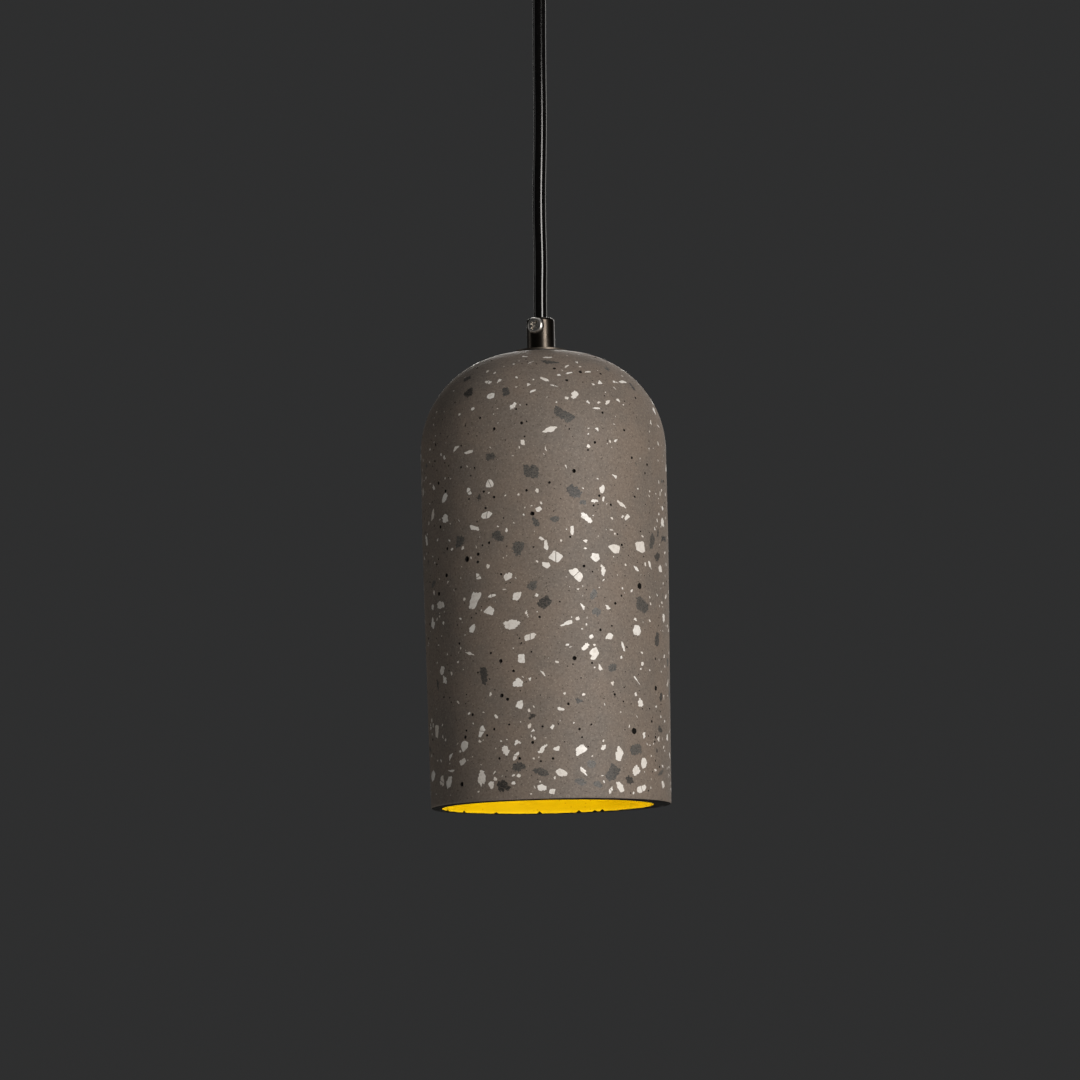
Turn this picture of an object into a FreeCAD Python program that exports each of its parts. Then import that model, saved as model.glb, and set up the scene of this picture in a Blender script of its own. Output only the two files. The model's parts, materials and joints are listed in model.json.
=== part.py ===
"""Pendant ceiling lamp: a domed terrazzo-concrete shade on a round black cord.

Frame: millimetres, +Z up, origin on the ceiling plane at the centre of the ceiling rose, so everything
hangs in -Z. The lamp's own axis is vertical and stands a little to -X of the rose, because the cord hangs
with a slight lean. Every size comes from the spreadsheet "dims". Each sub-part is one labelled object and
one file in parts/.
"""

import FreeCAD, Part
import math
import os
import re

import Sketcher
from FreeCAD import Placement, Rotation, Vector

doc = FreeCAD.newDocument("pendant_lamp")
sheet = doc.addObject("Spreadsheet::Sheet", "dims")

# ---------------------------------------------------------------- driving dimensions, in mm and degrees

DIMENSIONS = {
    # Ceiling rose: a drawn steel cup on a strap bracket
    "rose_radius": 50.0,
    "rose_depth": 25.0,
    "rose_wall": 1.2,
    "rose_corner": 5.0,
    "strap_reach": 47.0,
    "strap_width": 16.0,
    "strap_thickness": 1.5,
    "strap_tab": 14.0,
    "ceiling_hole_spacing": 60.0,
    "ceiling_hole_radius": 2.25,
    "earth_hole_offset": 17.0,
    "side_screw_drop": 8.0,
    # Two-pole connector block under the strap
    "block_depth": 16.0,
    "block_width": 22.0,
    "block_height": 12.0,
    "block_offset": -23.0,
    "block_gap": 0.5,
    "pole_pitch": 10.0,
    "pole_radius": 2.6,
    "pole_bore": 1.5,
    "sleeve_inset": 1.5,
    "pole_screw_offset": 4.0,
    "pole_screw_length": 4.0,
    # Earth ring terminal under the strap
    "ring_radius": 4.0,
    "ring_thickness": 0.8,
    "ring_barrel": 4.0,
    # Cord: 3 x 0.75 mm2 in a round sheath
    "cord_radius": 3.2,
    "core_radius": 1.15,
    "bend_gap": 0.3,
    "cord_end_length": 9.7,
    # Cord grip, one at each end of the cord
    "grip_radius": 6.9,
    "grip_length": 16.3,
    "grip_bore": 3.55,
    "grip_lip": 1.1,
    "grip_edge": 1.5,
    "grip_thread_depth": 8.0,
    "clamp_drop": 4.35,
    "clamp_seat": 5.9,
    "clamp_gap": 0.05,
    "clamp_azimuth": 249.0,
    "clamp_turn": 35.0,
    "seat_radius": 4.35,
    # M10x1 hollow threaded rod with its nuts and washers
    "rod_radius": 5.0,
    "rod_bore": 3.9,
    "fit_gap": 0.05,
    "nut_flats": 14.0,
    "nut_height": 4.0,
    "locknut_height": 3.0,
    # M4 and M3 screws. The recess sizes are shares of the head's radius and height.
    "recess_reach": 0.56,
    "recess_half_width": 0.19,
    "recess_depth": 0.62,
    "recess_taper": 18.0,
    "m4_radius": 2.0,
    "m4_head_radius": 4.1,
    "m4_head_height": 2.5,
    "m3_radius": 1.5,
    "m3_head_radius": 2.75,
    "m3_head_height": 1.8,
    # Shade
    "drop": 223.0,
    "lamp_offset": -3.0,
    "shade_height": 222.0,
    "shade_radius": 60.0,
    "rim_radius": 58.2,
    "rim_inner_radius": 51.2,
    "crown_radius": 11.6,
    "shoulder_radius": 48.4,
    "belly_depth": 96.0,
    "crown_thickness": 14.0,
    "ceiling_radius": 49.5,
    "inner_shoulder": 32.0,
    "rod_hole_radius": 5.3,
    # Flange and gasket on the crown, washer under it
    "gasket_radius": 13.4,
    "gasket_thickness": 0.8,
    "flange_radius": 13.0,
    "flange_thickness": 0.9,
    "washer_radius": 16.0,
    "washer_thickness": 2.0,
    # E27 lampholder, heights counted down from the shade's crown
    "cap_top": 22.0,
    "cap_neck_radius": 8.5,
    "cap_neck_depth": 7.0,
    "cap_radius": 19.0,
    "cap_slope": 8.0,
    "cap_bottom": 50.0,
    "cap_wall": 1.5,
    "holder_radius": 20.5,
    "holder_bottom": 88.0,
    "holder_bore": 14.3,
    "holder_collar": 44.0,
    "holder_edge": 0.8,
    "insert_radius": 15.6,
    "insert_top": 50.0,
    "insert_bottom": 62.0,
    "shell_radius": 13.9,
    "shell_bore": 13.5,
    "shell_bottom": 84.0,
    "terminal_offset": 9.0,
    "terminal_length": 5.0,
    "terminal_width": 6.0,
    "terminal_height": 7.0,
    "terminal_screw_length": 4.0,
    "earth_terminal_offset": 14.0,
    "earth_terminal_top": 38.5,
    "earth_terminal_length": 4.0,
    "earth_terminal_size": 5.0,
    "contact_thickness": 0.4,
    "contact_width": 5.0,
    "contact_drop": 2.5,
    "contact_foot": 6.0,
    "contact_foot_offset": 7.0,
    "contact_riser_offset": 4.2,
    "contact_tongue": 8.0,
    "contact_tongue_offset": 0.4,
    # LED bulb with an E27 cap
    "bulb_tip": 64.8,
    "tip_radius": 4.8,
    "tip_edge": 0.8,
    "tip_slope": 0.7,
    "tip_height": 1.6,
    "insulator_radius": 7.8,
    "insulator_depth": 1.5,
    "bulb_cap_top": 70.0,
    "bulb_cap_bottom": 91.8,
    "bulb_cap_radius": 13.1,
    "bulb_cap_wall": 0.3,
    "bulb_cap_corner": 1.5,
    "bulb_cap_hole": 8.0,
    "bulb_seam": 128.0,
    "bulb_seam_radius": 26.0,
    "bulb_housing_wall": 1.6,
    "housing_flare": 80.0,
    "globe_radius": 30.0,
    "globe_centre": 143.0,
    "globe_wall": 1.2,
    "board_radius": 23.5,
    "board_thickness": 1.6,
    "board_hole": 1.5,
    "driver_length": 18.0,
    "driver_height": 34.0,
    "led_circle": 15.0,
    "led_size": 3.0,
    "led_height": 0.7,
}

# Heights as formulas: the mouths of the two grips, and the ends of the sheath inside the rose and the holder
UPPER_MOUTH = "-(rose_depth + grip_length)"
LOWER_MOUTH = "-drop + gasket_thickness + flange_thickness + grip_length"
ROSE_TAIL_END = "-rose_depth + 7"
HOLDER_TAIL_END = "-(drop + cap_top + cap_neck_depth + 4)"

LED_COUNT = 12

for row, (alias, number) in enumerate(DIMENSIONS.items(), start=1):
    sheet.set(f"A{row}", alias)
    sheet.set(f"B{row}", str(number))
    sheet.setAlias(f"B{row}", alias)
doc.recompute()

ALIAS = re.compile(r"\b(" + "|".join(sorted(DIMENSIONS, key=len, reverse=True)) + r")\b")


def bound(formula):
    """The formula as an expression: every dimension's name becomes a reference to its cell."""
    return ALIAS.sub(r"dims.\1", str(formula))


probe = doc.addObject("Part::Box", "probe")


def value(formula):
    """The number that a formula of dimensions comes to."""
    return float(probe.evalExpression(bound(formula)))


def bind(thing, **formulas):
    """Drives the properties of a document object by formulas of the sheet's cells."""
    for name, formula in formulas.items():
        thing.setExpression(name, bound(formula))


def place(thing, x=0, y=0, z=0, rotation=None):
    """Turns an object, and drives its place by formulas."""
    if rotation is not None:
        thing.Placement = Placement(Vector(), rotation)
    for axis, formula in (("x", x), ("y", y), ("z", z)):
        thing.setExpression(f"Placement.Base.{axis}", bound(formula))


# ---------------------------------------------------------------- sketches and turned pieces


def line(*corner):
    """A straight side of an outline, ending at this corner."""
    return {"corner": corner, "radius": None}


def arc(first, second, radius, turn):
    """A round side of an outline, ending at this corner. turn is 1 anticlockwise and -1 clockwise."""
    return {"corner": (first, second), "radius": radius, "turn": turn}


def arc_between(start, end, radius, turn):
    """The circle's arc of that radius from start to end, the short way."""
    chord = end - start
    left = Vector(-chord.y, chord.x, 0).normalize()
    rise = math.sqrt(radius**2 - chord.Length**2 / 4)
    centre = (start + end) / 2 + left * rise * turn
    angles = [math.atan2(p.y - centre.y, p.x - centre.x) for p in (start, end)]
    if turn < 0:
        angles.reverse()
    return Part.ArcOfCircle(Part.Circle(centre, Vector(0, 0, 1), radius), *angles)


def draw_outline(sketch, sides):
    """Draws a closed outline. Both coordinates of every corner, and every radius, are driven by formulas."""
    corners = [Vector(value(s["corner"][0]), value(s["corner"][1]), 0) for s in sides]
    ends = []
    for index, side in enumerate(sides):
        start, end = corners[index - 1], corners[index]
        if side["radius"] is None:
            curve = Part.LineSegment(start, end)
        else:
            curve = arc_between(start, end, value(side["radius"]), side["turn"])
        number = sketch.addGeometry(curve, False)
        backwards = side["radius"] is not None and side["turn"] < 0
        ends.append((number, 2, 1) if backwards else (number, 1, 2))
    for index, side in enumerate(sides):
        number, _, last = ends[index]
        following, first, _ = ends[(index + 1) % len(sides)]
        sketch.addConstraint(Sketcher.Constraint("Coincident", number, last, following, first))
        for kind, formula in zip(("DistanceX", "DistanceY"), side["corner"]):
            drive(sketch, formula, kind, -1, 1, number, last)
        if side["radius"] is not None:
            drive(sketch, side["radius"], "Radius", number)


def drive(sketch, formula, kind, *where):
    """Adds one dimension to a sketch and binds it to a formula."""
    number = sketch.addConstraint(Sketcher.Constraint(kind, *where, value(formula)))
    sketch.setExpression(f"Constraints[{number}]", bound(formula))


def new_sketch(body, role):
    """An empty sketch on one of the body's own origin planes."""
    sketch = body.newObject("Sketcher::SketchObject", f"{body.Name}_sketch")
    plane = next(f for f in body.Origin.OriginFeatures if f.Role == role)
    sketch.AttachmentSupport = [(plane, "")]
    sketch.MapMode = "FlatFace"
    return sketch


def turned(name, sides, x="lamp_offset", z="-drop", rotation=None):
    """A piece turned about its own Z axis: an outline of (radius, height) corners, revolved in full."""
    body = doc.addObject("PartDesign::Body", name)
    sketch = new_sketch(body, "XZ_Plane")
    draw_outline(sketch, sides)
    revolution = body.newObject("PartDesign::Revolution", f"{name}_revolution")
    revolution.Profile = sketch
    revolution.ReferenceAxis = (sketch, ["V_Axis"])
    revolution.Angle = 360
    place(body, x=x, z=z, rotation=rotation)
    return body


def ring(name, inner, outer, bottom, top, **where):
    """A plain turned ring, such as a washer or a sleeve."""
    sides = [line(inner, bottom), line(outer, bottom), line(outer, top), line(inner, top)]
    return turned(name, sides, **where)


# ---------------------------------------------------------------- primitives and booleans


def block(name, length, width, height, x=0, y=0, z=0):
    """A box, given by its middle in X and Y and its bottom in Z."""
    solid = doc.addObject("Part::Box", name)
    bind(solid, Length=length, Width=width, Height=height)
    place(solid, x=f"({x}) - ({length}) / 2", y=f"({y}) - ({width}) / 2", z=z)
    return solid


ALONG = {"X": Rotation(Vector(0, 1, 0), 90), "Y": Rotation(Vector(1, 0, 0), -90), "Z": Rotation()}
UPSIDE_DOWN = Rotation(Vector(1, 0, 0), 180)


def rod(name, radius, length, x=0, y=0, z=0, along="Z"):
    """A cylinder that starts at a point and runs along an axis."""
    solid = doc.addObject("Part::Cylinder", name)
    bind(solid, Radius=radius, Height=length)
    place(solid, x=x, y=y, z=z, rotation=ALONG[along])
    return solid


def joined(name, solids):
    """Several solids fused into one."""
    fused = doc.addObject("Part::MultiFuse", name)
    fused.Shapes = solids
    return fused


def cut(name, base, tools):
    """The base with every tool cut out of it."""
    result = doc.addObject("Part::Cut", name)
    result.Base = base
    result.Tool = tools[0] if len(tools) == 1 else joined(f"{name}_tools", tools)
    return result


def together(name, solids):
    """Separate solids that share one sub-part, such as a set of identical screws."""
    group = doc.addObject("Part::Compound", name)
    group.Links = solids
    return group


def hex_nut(name, height, z, x="lamp_offset"):
    """A thin M10x1 nut, its corners chamfered by a cone at each face."""
    prism = doc.addObject("Part::Prism", f"{name}_prism")
    prism.Polygon = 6
    bind(prism, Circumradius="nut_flats / sqrt(3)", Height=height)
    place(prism, x=x, z=z)
    across = "nut_flats / 2 + 0.1"
    corner = "nut_flats / 2 + 1.3"
    lens = turned(
        f"{name}_lens",
        [line(0, 0), line(across, 0), line(corner, "0.7"), line(corner, f"({height}) - 0.7"),
         line(across, height), line(0, height)],
        x=x,
        z=z,
    )
    rounded = doc.addObject("Part::Common", f"{name}_rounded")
    rounded.Base = prism
    rounded.Tool = lens
    hole = rod(f"{name}_hole", "rod_radius + fit_gap", height, x=x, z=z)
    return cut(name, rounded, [hole])


def pan_screw(name, head_radius, head_height, shank_radius, shank_length, x=0, y=0, z=0, rotation=None):
    """A pan-head screw with a tapered cross recess.

    Its own frame has the head's seat at Z = 0 and the shank towards -Z.
    """
    body = doc.addObject("PartDesign::Body", name)
    sketch = new_sketch(body, "XZ_Plane")
    rounding = f"({head_height}) * 0.6"
    draw_outline(
        sketch,
        [
            line(0, f"-({shank_length})"),
            line(f"({shank_radius}) - 0.4", f"-({shank_length})"),
            line(shank_radius, f"-({shank_length}) + 0.4"),
            line(shank_radius, 0),
            line(head_radius, 0),
            line(head_radius, f"({head_height}) - ({rounding})"),
            arc(f"({head_radius}) - ({rounding})", head_height, rounding, 1),
            line(0, head_height),
        ],
    )
    turning = body.newObject("PartDesign::Revolution", f"{name}_turning")
    turning.Profile = sketch
    turning.ReferenceAxis = (sketch, ["V_Axis"])
    turning.Angle = 360
    doc.recompute()
    solid_volume = body.Shape.Volume
    cross = new_sketch(body, "XY_Plane")
    cross.setExpression("AttachmentOffset.Base.z", bound(head_height))
    long, wide = f"({head_radius}) * recess_reach", f"({head_radius}) * recess_half_width"
    quarter = [(long, f"-({wide})"), (long, wide), (wide, wide)]
    turns = [(1, 0, 0, 1), (0, -1, 1, 0), (-1, 0, 0, -1), (0, 1, -1, 0)]
    sides = []
    for xx, xy, yx, yy in turns:
        for across, up in quarter:
            sides.append(line(f"{xx} * ({across}) + {xy} * ({up})", f"{yx} * ({across}) + {yy} * ({up})"))
    draw_outline(cross, sides)
    recess = body.newObject("PartDesign::Pocket", f"{name}_recess")
    recess.Profile = cross
    bind(recess, Length=f"({head_height}) * recess_depth", TaperAngle="-recess_taper")
    doc.recompute()
    if body.Shape.Volume >= solid_volume:
        raise RuntimeError(f"{name}: the cross recess cut nothing")
    place(body, x=x, y=y, z=z, rotation=rotation)
    return body


# ---------------------------------------------------------------- tubes along a route


def route_tube(name, points, radius):
    """A round tube along straight runs joined by tangent arcs, each arc as large as its two runs allow."""
    edges = []
    bends = []
    start = points[0]
    for before, corner, after in zip(points, points[1:], points[2:]):
        incoming, outgoing = corner - before, after - corner
        turn = incoming.getAngle(outgoing)
        setback = 0.45 * min(incoming.Length, outgoing.Length)
        bend = setback / math.tan(turn / 2)
        enter = corner - Vector(incoming).normalize() * setback
        leave = corner + Vector(outgoing).normalize() * setback
        inward = (Vector(outgoing).normalize() - Vector(incoming).normalize()).normalize()
        middle = corner + inward * (bend / math.cos(turn / 2) - bend)
        edges.append(Part.LineSegment(start, enter).toShape())
        edges.append(Part.Arc(enter, middle, leave).toShape())
        bends.append(round(bend, 1))
        start = leave
    edges.append(Part.LineSegment(start, points[-1]).toShape())
    path = Part.Wire(edges)
    section = Part.Wire(Part.Circle(points[0], points[1] - points[0], radius).toShape())
    tube = doc.addObject("Part::Feature", name)
    tube.Shape = path.makePipeShell([section], True, False)
    tube.Placement = Placement()
    expected = math.pi * radius**2 * path.Length
    share = tube.Shape.Volume / expected
    print(f"{name}: length {path.Length:.1f}, bend radii {bends}, volume {share:.4f} of expected")
    return tube


# ---------------------------------------------------------------- ceiling rose


def mounting_bracket():
    """Steel strap on the ceiling with two turned-down tabs that take the rose's side screws."""
    thick, under = "strap_thickness", "-strap_thickness"
    solids = [block("strap", "2 * strap_reach", "strap_width", thick, z=under)]
    holes = [
        rod("earth_hole", "m4_radius + fit_gap", thick, x="earth_hole_offset", z=under),
        rod("block_hole", "m3_radius + fit_gap", thick, x="block_offset", z=under),
    ]
    for side, sign in (("left", -1), ("right", 1)):
        tab_x = f"{sign} * (strap_reach - strap_thickness / 2)"
        solids.append(block(f"tab_{side}", thick, "strap_width", "strap_tab", x=tab_x, z="-strap_tab"))
        ceiling_x = f"{sign} * ceiling_hole_spacing / 2"
        holes.append(rod(f"ceiling_hole_{side}", "ceiling_hole_radius", thick, x=ceiling_x, z=under))
    bore, length = "m4_radius + fit_gap", "2 * strap_reach"
    holes.append(rod("tab_holes", bore, length, x="-strap_reach", z="-side_screw_drop", along="X"))
    return [cut("mounting_bracket", joined("strap_with_tabs", solids), holes)]


def ceiling_rose():
    """Drawn cup, open towards the ceiling, with a hole for the grip's rod and two side screw holes."""
    wall, inner_corner = "rose_wall", "rose_corner - rose_wall"
    hole = "rod_radius + 0.2"
    cup = turned(
        "rose_cup",
        [
            line(hole, "-rose_depth"),
            line("rose_radius - rose_corner", "-rose_depth"),
            arc("rose_radius", "-rose_depth + rose_corner", "rose_corner", 1),
            line("rose_radius", 0),
            line(f"rose_radius - {wall}", 0),
            line(f"rose_radius - {wall}", "-rose_depth + rose_corner"),
            arc("rose_radius - rose_corner", f"-rose_depth + {wall}", inner_corner, -1),
            line(hole, f"-rose_depth + {wall}"),
        ],
        x=0,
        z=0,
    )
    bore, length = "m4_radius + 0.15", "2 * rose_radius"
    side_holes = rod("rose_side_holes", bore, length, x="-rose_radius", z="-side_screw_drop", along="X")
    shank = "rose_radius - strap_reach + 5"
    screws = []
    for side, sign in (("left", -1), ("right", 1)):
        screws.append(
            pan_screw(
                f"rose_screw_{side}", "m4_head_radius", "m4_head_height", "m4_radius", shank,
                x=f"{sign} * (rose_radius + 0.15)", z="-side_screw_drop",
                rotation=Rotation(Vector(0, 1, 0), 90 * sign),
            )
        )
    return [cut("ceiling_rose", cup, [side_holes]), together("rose_side_screws", screws)]


def connector_block():
    """Two-pole block with a brass sleeve and two screws for each pole, and its own fixing screw."""
    top = "-(strap_thickness + block_gap)"
    middle = f"{top} - block_height / 2"
    bottom = f"{top} - block_height"
    start = "block_offset - block_depth / 2"
    body = block("block_body", "block_depth", "block_width", "block_height", x="block_offset", z=bottom)
    holes, sleeves, screws = [], [], []
    for pole, sign in (("live", -1), ("neutral", 1)):
        y = f"{sign} * pole_pitch / 2"
        holes.append(rod(f"{pole}_hole", "pole_radius", "block_depth", x=start, y=y, z=middle, along="X"))
        sleeve = rod(
            f"{pole}_sleeve", "pole_radius - fit_gap", "block_depth - 2 * sleeve_inset",
            x=f"{start} + sleeve_inset", y=y, z=middle, along="X",
        )
        bores = [rod(f"{pole}_bore", "pole_bore", "block_depth", x=start, y=y, z=middle, along="X")]
        for end, side in (("supply", -1), ("lamp", 1)):
            x = f"block_offset + {side} * pole_screw_offset"
            name = f"{pole}_{end}"
            holes.append(rod(f"{name}_well", "m3_radius + 0.3", "block_height / 2", x=x, y=y, z=bottom))
            bores.append(rod(f"{name}_thread", "m3_radius + fit_gap", "block_height / 2", x=x, y=y, z=bottom))
            screw_z = f"{middle} - core_radius - fit_gap - pole_screw_length"
            screws.append(rod(f"{name}_screw", "m3_radius", "pole_screw_length", x=x, y=y, z=screw_z))
        sleeves.append(cut(f"{pole}_sleeve_bored", sleeve, bores))
    fixing_length = "block_height + block_gap + strap_thickness"
    holes.append(rod("fixing_hole", "m3_radius + fit_gap", "block_height", x="block_offset", z=bottom))
    fixing = pan_screw(
        "block_screw", "m3_head_radius", "m3_head_height", "m3_radius", fixing_length,
        x="block_offset", z=bottom, rotation=UPSIDE_DOWN,
    )
    return [
        cut("terminal_block", body, holes),
        together("terminal_sleeves", sleeves),
        together("terminal_screws", screws),
        fixing,
    ]


def earth_point():
    """Ring terminal held under the strap by the earth screw."""
    seat = "-(strap_thickness + ring_thickness)"
    hole, top = "m4_radius + fit_gap", "-strap_thickness"
    eye = ring("earth_eye", hole, "ring_radius", seat, top, x="earth_hole_offset", z=0)
    barrel = block(
        "earth_barrel", "ring_barrel", "2 * core_radius + 0.8", "ring_thickness",
        x="earth_hole_offset - ring_radius - ring_barrel / 2 + 0.5", z=seat,
    )
    screw = pan_screw(
        "earth_screw", "m4_head_radius", "m4_head_height", "m4_radius", "strap_thickness + ring_thickness",
        x="earth_hole_offset", z=seat, rotation=UPSIDE_DOWN,
    )
    return [joined("earth_ring_terminal", [eye, barrel]), screw]


# ---------------------------------------------------------------- cord grips and hollow rods


def cord_grip(which, x, mouth, up):
    """A turned sleeve that screws on the hollow rod and clamps the cord with one side screw.

    mouth is the height of the cord's end. up is 1 with the mouth upwards and -1 with the mouth downwards.
    """
    bore, thread = "grip_bore", "rod_radius + fit_gap"
    sleeve = turned(
        f"{which}_grip_sleeve",
        [
            line(thread, 0),
            line("grip_radius", 0),
            line("grip_radius", "grip_length - grip_edge"),
            arc("grip_radius - grip_edge", "grip_length", "grip_edge", 1),
            line(f"{bore} + grip_lip", "grip_length"),
            arc(bore, "grip_length - grip_lip", "grip_lip", 1),
            line(bore, "grip_thread_depth"),
            line(thread, "grip_thread_depth"),
        ],
        x=x,
        z=f"{mouth} - ({up}) * grip_length",
        rotation=UPSIDE_DOWN if up < 0 else None,
    )
    azimuth = math.radians(value("clamp_azimuth"))
    outward = Rotation(Vector(0, 0, 1), Vector(math.cos(azimuth), math.sin(azimuth), 0))
    height = f"{mouth} - ({up}) * clamp_drop"

    def spot(distance):
        """A place on the screw's axis, that far from the grip's axis."""
        return {
            "x": f"{x} + ({distance}) * cos(clamp_azimuth)",
            "y": f"({distance}) * sin(clamp_azimuth)",
            "z": height,
        }

    tools = []
    for part, radius, distance in (("hole", "m4_radius + fit_gap", 0), ("seat", "seat_radius", "clamp_seat")):
        tool = rod(f"{which}_grip_{part}", radius, "grip_radius")
        place(tool, **spot(distance), rotation=outward)
        tools.append(tool)
    turned_in = outward * Rotation(Vector(0, 0, 1), value("clamp_turn"))
    screw = pan_screw(
        f"{which}_clamp_screw", "m4_head_radius", "m4_head_height", "m4_radius",
        "clamp_seat - cord_radius - clamp_gap", **spot("clamp_seat"), rotation=turned_in,
    )
    return [cut(f"{which}_cord_grip", sleeve, tools), screw]


def threaded_rod(name, bottom, top, x):
    """A length of hollow M10x1 rod, its thread left plain, with chamfered ends."""
    chamfer = "0.6"
    return turned(
        name,
        [
            line("rod_bore", bottom),
            line(f"rod_radius - {chamfer}", bottom),
            line("rod_radius", f"{bottom} + {chamfer}"),
            line("rod_radius", f"{top} - {chamfer}"),
            line(f"rod_radius - {chamfer}", top),
            line("rod_bore", top),
        ],
        x=x,
        z=0,
    )


# ---------------------------------------------------------------- cord

# The cord's route between its two bends: offsets from the lamp's axis and heights above the lower mouth
CORD_ROUTE = [
    (0.1, 0.0, 13.5),
    (0.75, 0.2, 28.0),
    (0.45, -0.2, 58.0),
    (2.1, 0.1, 95.0),
    (2.35, -0.15, 129.0),
]


def bend(name, x, height):
    """The cord's short flexing stretch where it enters a grip, a ball as thick as the cord."""
    ball = doc.addObject("Part::Sphere", name)
    bind(ball, Radius="cord_radius")
    place(ball, x=x, z=height)
    return ball


def cord_pieces():
    """The free cord, with the flexing stretch at each end and the stretch above the lamp that twists."""
    lamp_x, lower, upper = value("lamp_offset"), value(LOWER_MOUTH), value(UPPER_MOUTH)
    clear = value("cord_radius + bend_gap")
    points = [Vector(lamp_x + x, y, lower + height) for x, y, height in CORD_ROUTE]
    points.append(Vector(0, 0, upper - clear))
    end_bottom = f"{LOWER_MOUTH} + cord_radius + bend_gap"
    return [
        bend("cord_upper_bend", 0, UPPER_MOUTH),
        route_tube("cord", points, value("cord_radius")),
        rod("cord_lower_end", "cord_radius", "cord_end_length", x="lamp_offset", z=end_bottom),
        bend("cord_lower_bend", "lamp_offset", LOWER_MOUTH),
    ]


def cord_tail(name, x, mouth, end, up):
    """The cord's sheath inside a grip and its hollow rod, from the bend to where it is stripped."""
    start = f"{mouth} - ({up}) * (cord_radius + bend_gap)"
    low, high = (end, start) if up > 0 else (start, end)
    return rod(name, "cord_radius", f"({high}) - ({low})", x=x, z=low)


# ---------------------------------------------------------------- wires


def core_start(angle, x, height):
    """Where an insulated core comes out of the stripped sheath."""
    spread = value("core_radius") * 1.2
    turn = math.radians(angle)
    return Vector(value(x) + spread * math.cos(turn), spread * math.sin(turn), value(height))


def wires_in_rose():
    """Live and neutral go to the connector block, and earth to the strap's ring terminal."""
    radius = value("core_radius")
    end_z = value("-(strap_thickness + block_gap + block_height / 2)")
    entry = value("block_offset + block_depth / 2")
    wires = []
    for name, angle, sign in (("live", 240, -1), ("neutral", 120, 1)):
        start = core_start(angle, 0, ROSE_TAIL_END)
        y = sign * value("pole_pitch / 2")
        rise = start + Vector(0, 0, 5.5)
        points = [start, rise, Vector(entry + 7, y, end_z), Vector(entry - 3.5, y, end_z)]
        wires.append(route_tube(f"upper_{name}_wire", points, radius))
    start = core_start(0, 0, ROSE_TAIL_END)
    barrel_x = value("earth_hole_offset - ring_radius - ring_barrel + 0.5")
    barrel_z = value("-(strap_thickness + ring_thickness / 2)")
    points = [
        start,
        start + Vector(0, 0, 7),
        Vector(barrel_x - 3.5, 0, barrel_z - 2.4),
        Vector(barrel_x, 0, barrel_z - 1.6),
    ]
    wires.append(route_tube("upper_earth_wire", points, radius))
    return wires


def wires_in_holder():
    """Live and neutral drop to the insert's terminals, and earth to the cap's terminal."""
    radius = value("core_radius")
    crown, x = value("-drop"), value("lamp_offset")
    wires = []
    for name, angle, sign in (("live", 210, -1), ("neutral", 330, 1)):
        start = core_start(angle, "lamp_offset", HOLDER_TAIL_END)
        across = x + sign * value("terminal_offset")
        top = crown - value("insert_top - terminal_height")
        points = [
            start, start + Vector(0, 0, -2.6), Vector(across, 0, top + 4), Vector(across, 0, top - 3)
        ]
        wires.append(route_tube(f"lower_{name}_wire", points, radius))
    start = core_start(90, "lamp_offset", HOLDER_TAIL_END)
    earth_top = crown - value("earth_terminal_top")
    y = value("earth_terminal_offset")
    points = [start, start + Vector(0, 0, -2.4), Vector(x, y, earth_top + 1), Vector(x, y, earth_top - 2.6)]
    wires.append(route_tube("lower_earth_wire", points, radius))
    return wires


# ---------------------------------------------------------------- shade and what holds it


def concrete_shade():
    """Cast shade: a flat crown, a round shoulder, walls that taper slightly to the rim, open below."""
    inner_flat = "ceiling_radius - inner_shoulder"
    return [
        turned(
            "shade",
            [
                line("rod_hole_radius", 0),
                line("rod_hole_radius", "-crown_thickness"),
                line(inner_flat, "-crown_thickness"),
                arc("ceiling_radius", "-crown_thickness - inner_shoulder", "inner_shoulder", -1),
                line("rim_inner_radius", "-shade_height"),
                line("rim_radius", "-shade_height"),
                line("shade_radius", "-belly_depth"),
                line("shade_radius", "-shoulder_radius"),
                arc("crown_radius", 0, "shoulder_radius", 1),
            ],
        )
    ]


def crown_stack():
    """Gasket and flange on the crown, and the washer and nut that pull the shade up from inside."""
    hole = "rod_radius + fit_gap"
    flange_bottom = "gasket_thickness"
    flange_top = f"{flange_bottom} + flange_thickness"
    washer_bottom = "-(crown_thickness + washer_thickness)"
    return [
        ring("crown_gasket", hole, "gasket_radius", 0, flange_bottom),
        ring("crown_flange", hole, "flange_radius", flange_bottom, flange_top),
        ring("crown_washer", hole, "washer_radius", washer_bottom, "-crown_thickness"),
        hex_nut("crown_nut", "nut_height", "-(drop + crown_thickness + washer_thickness + nut_height)"),
    ]


# ---------------------------------------------------------------- E27 lampholder


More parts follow.
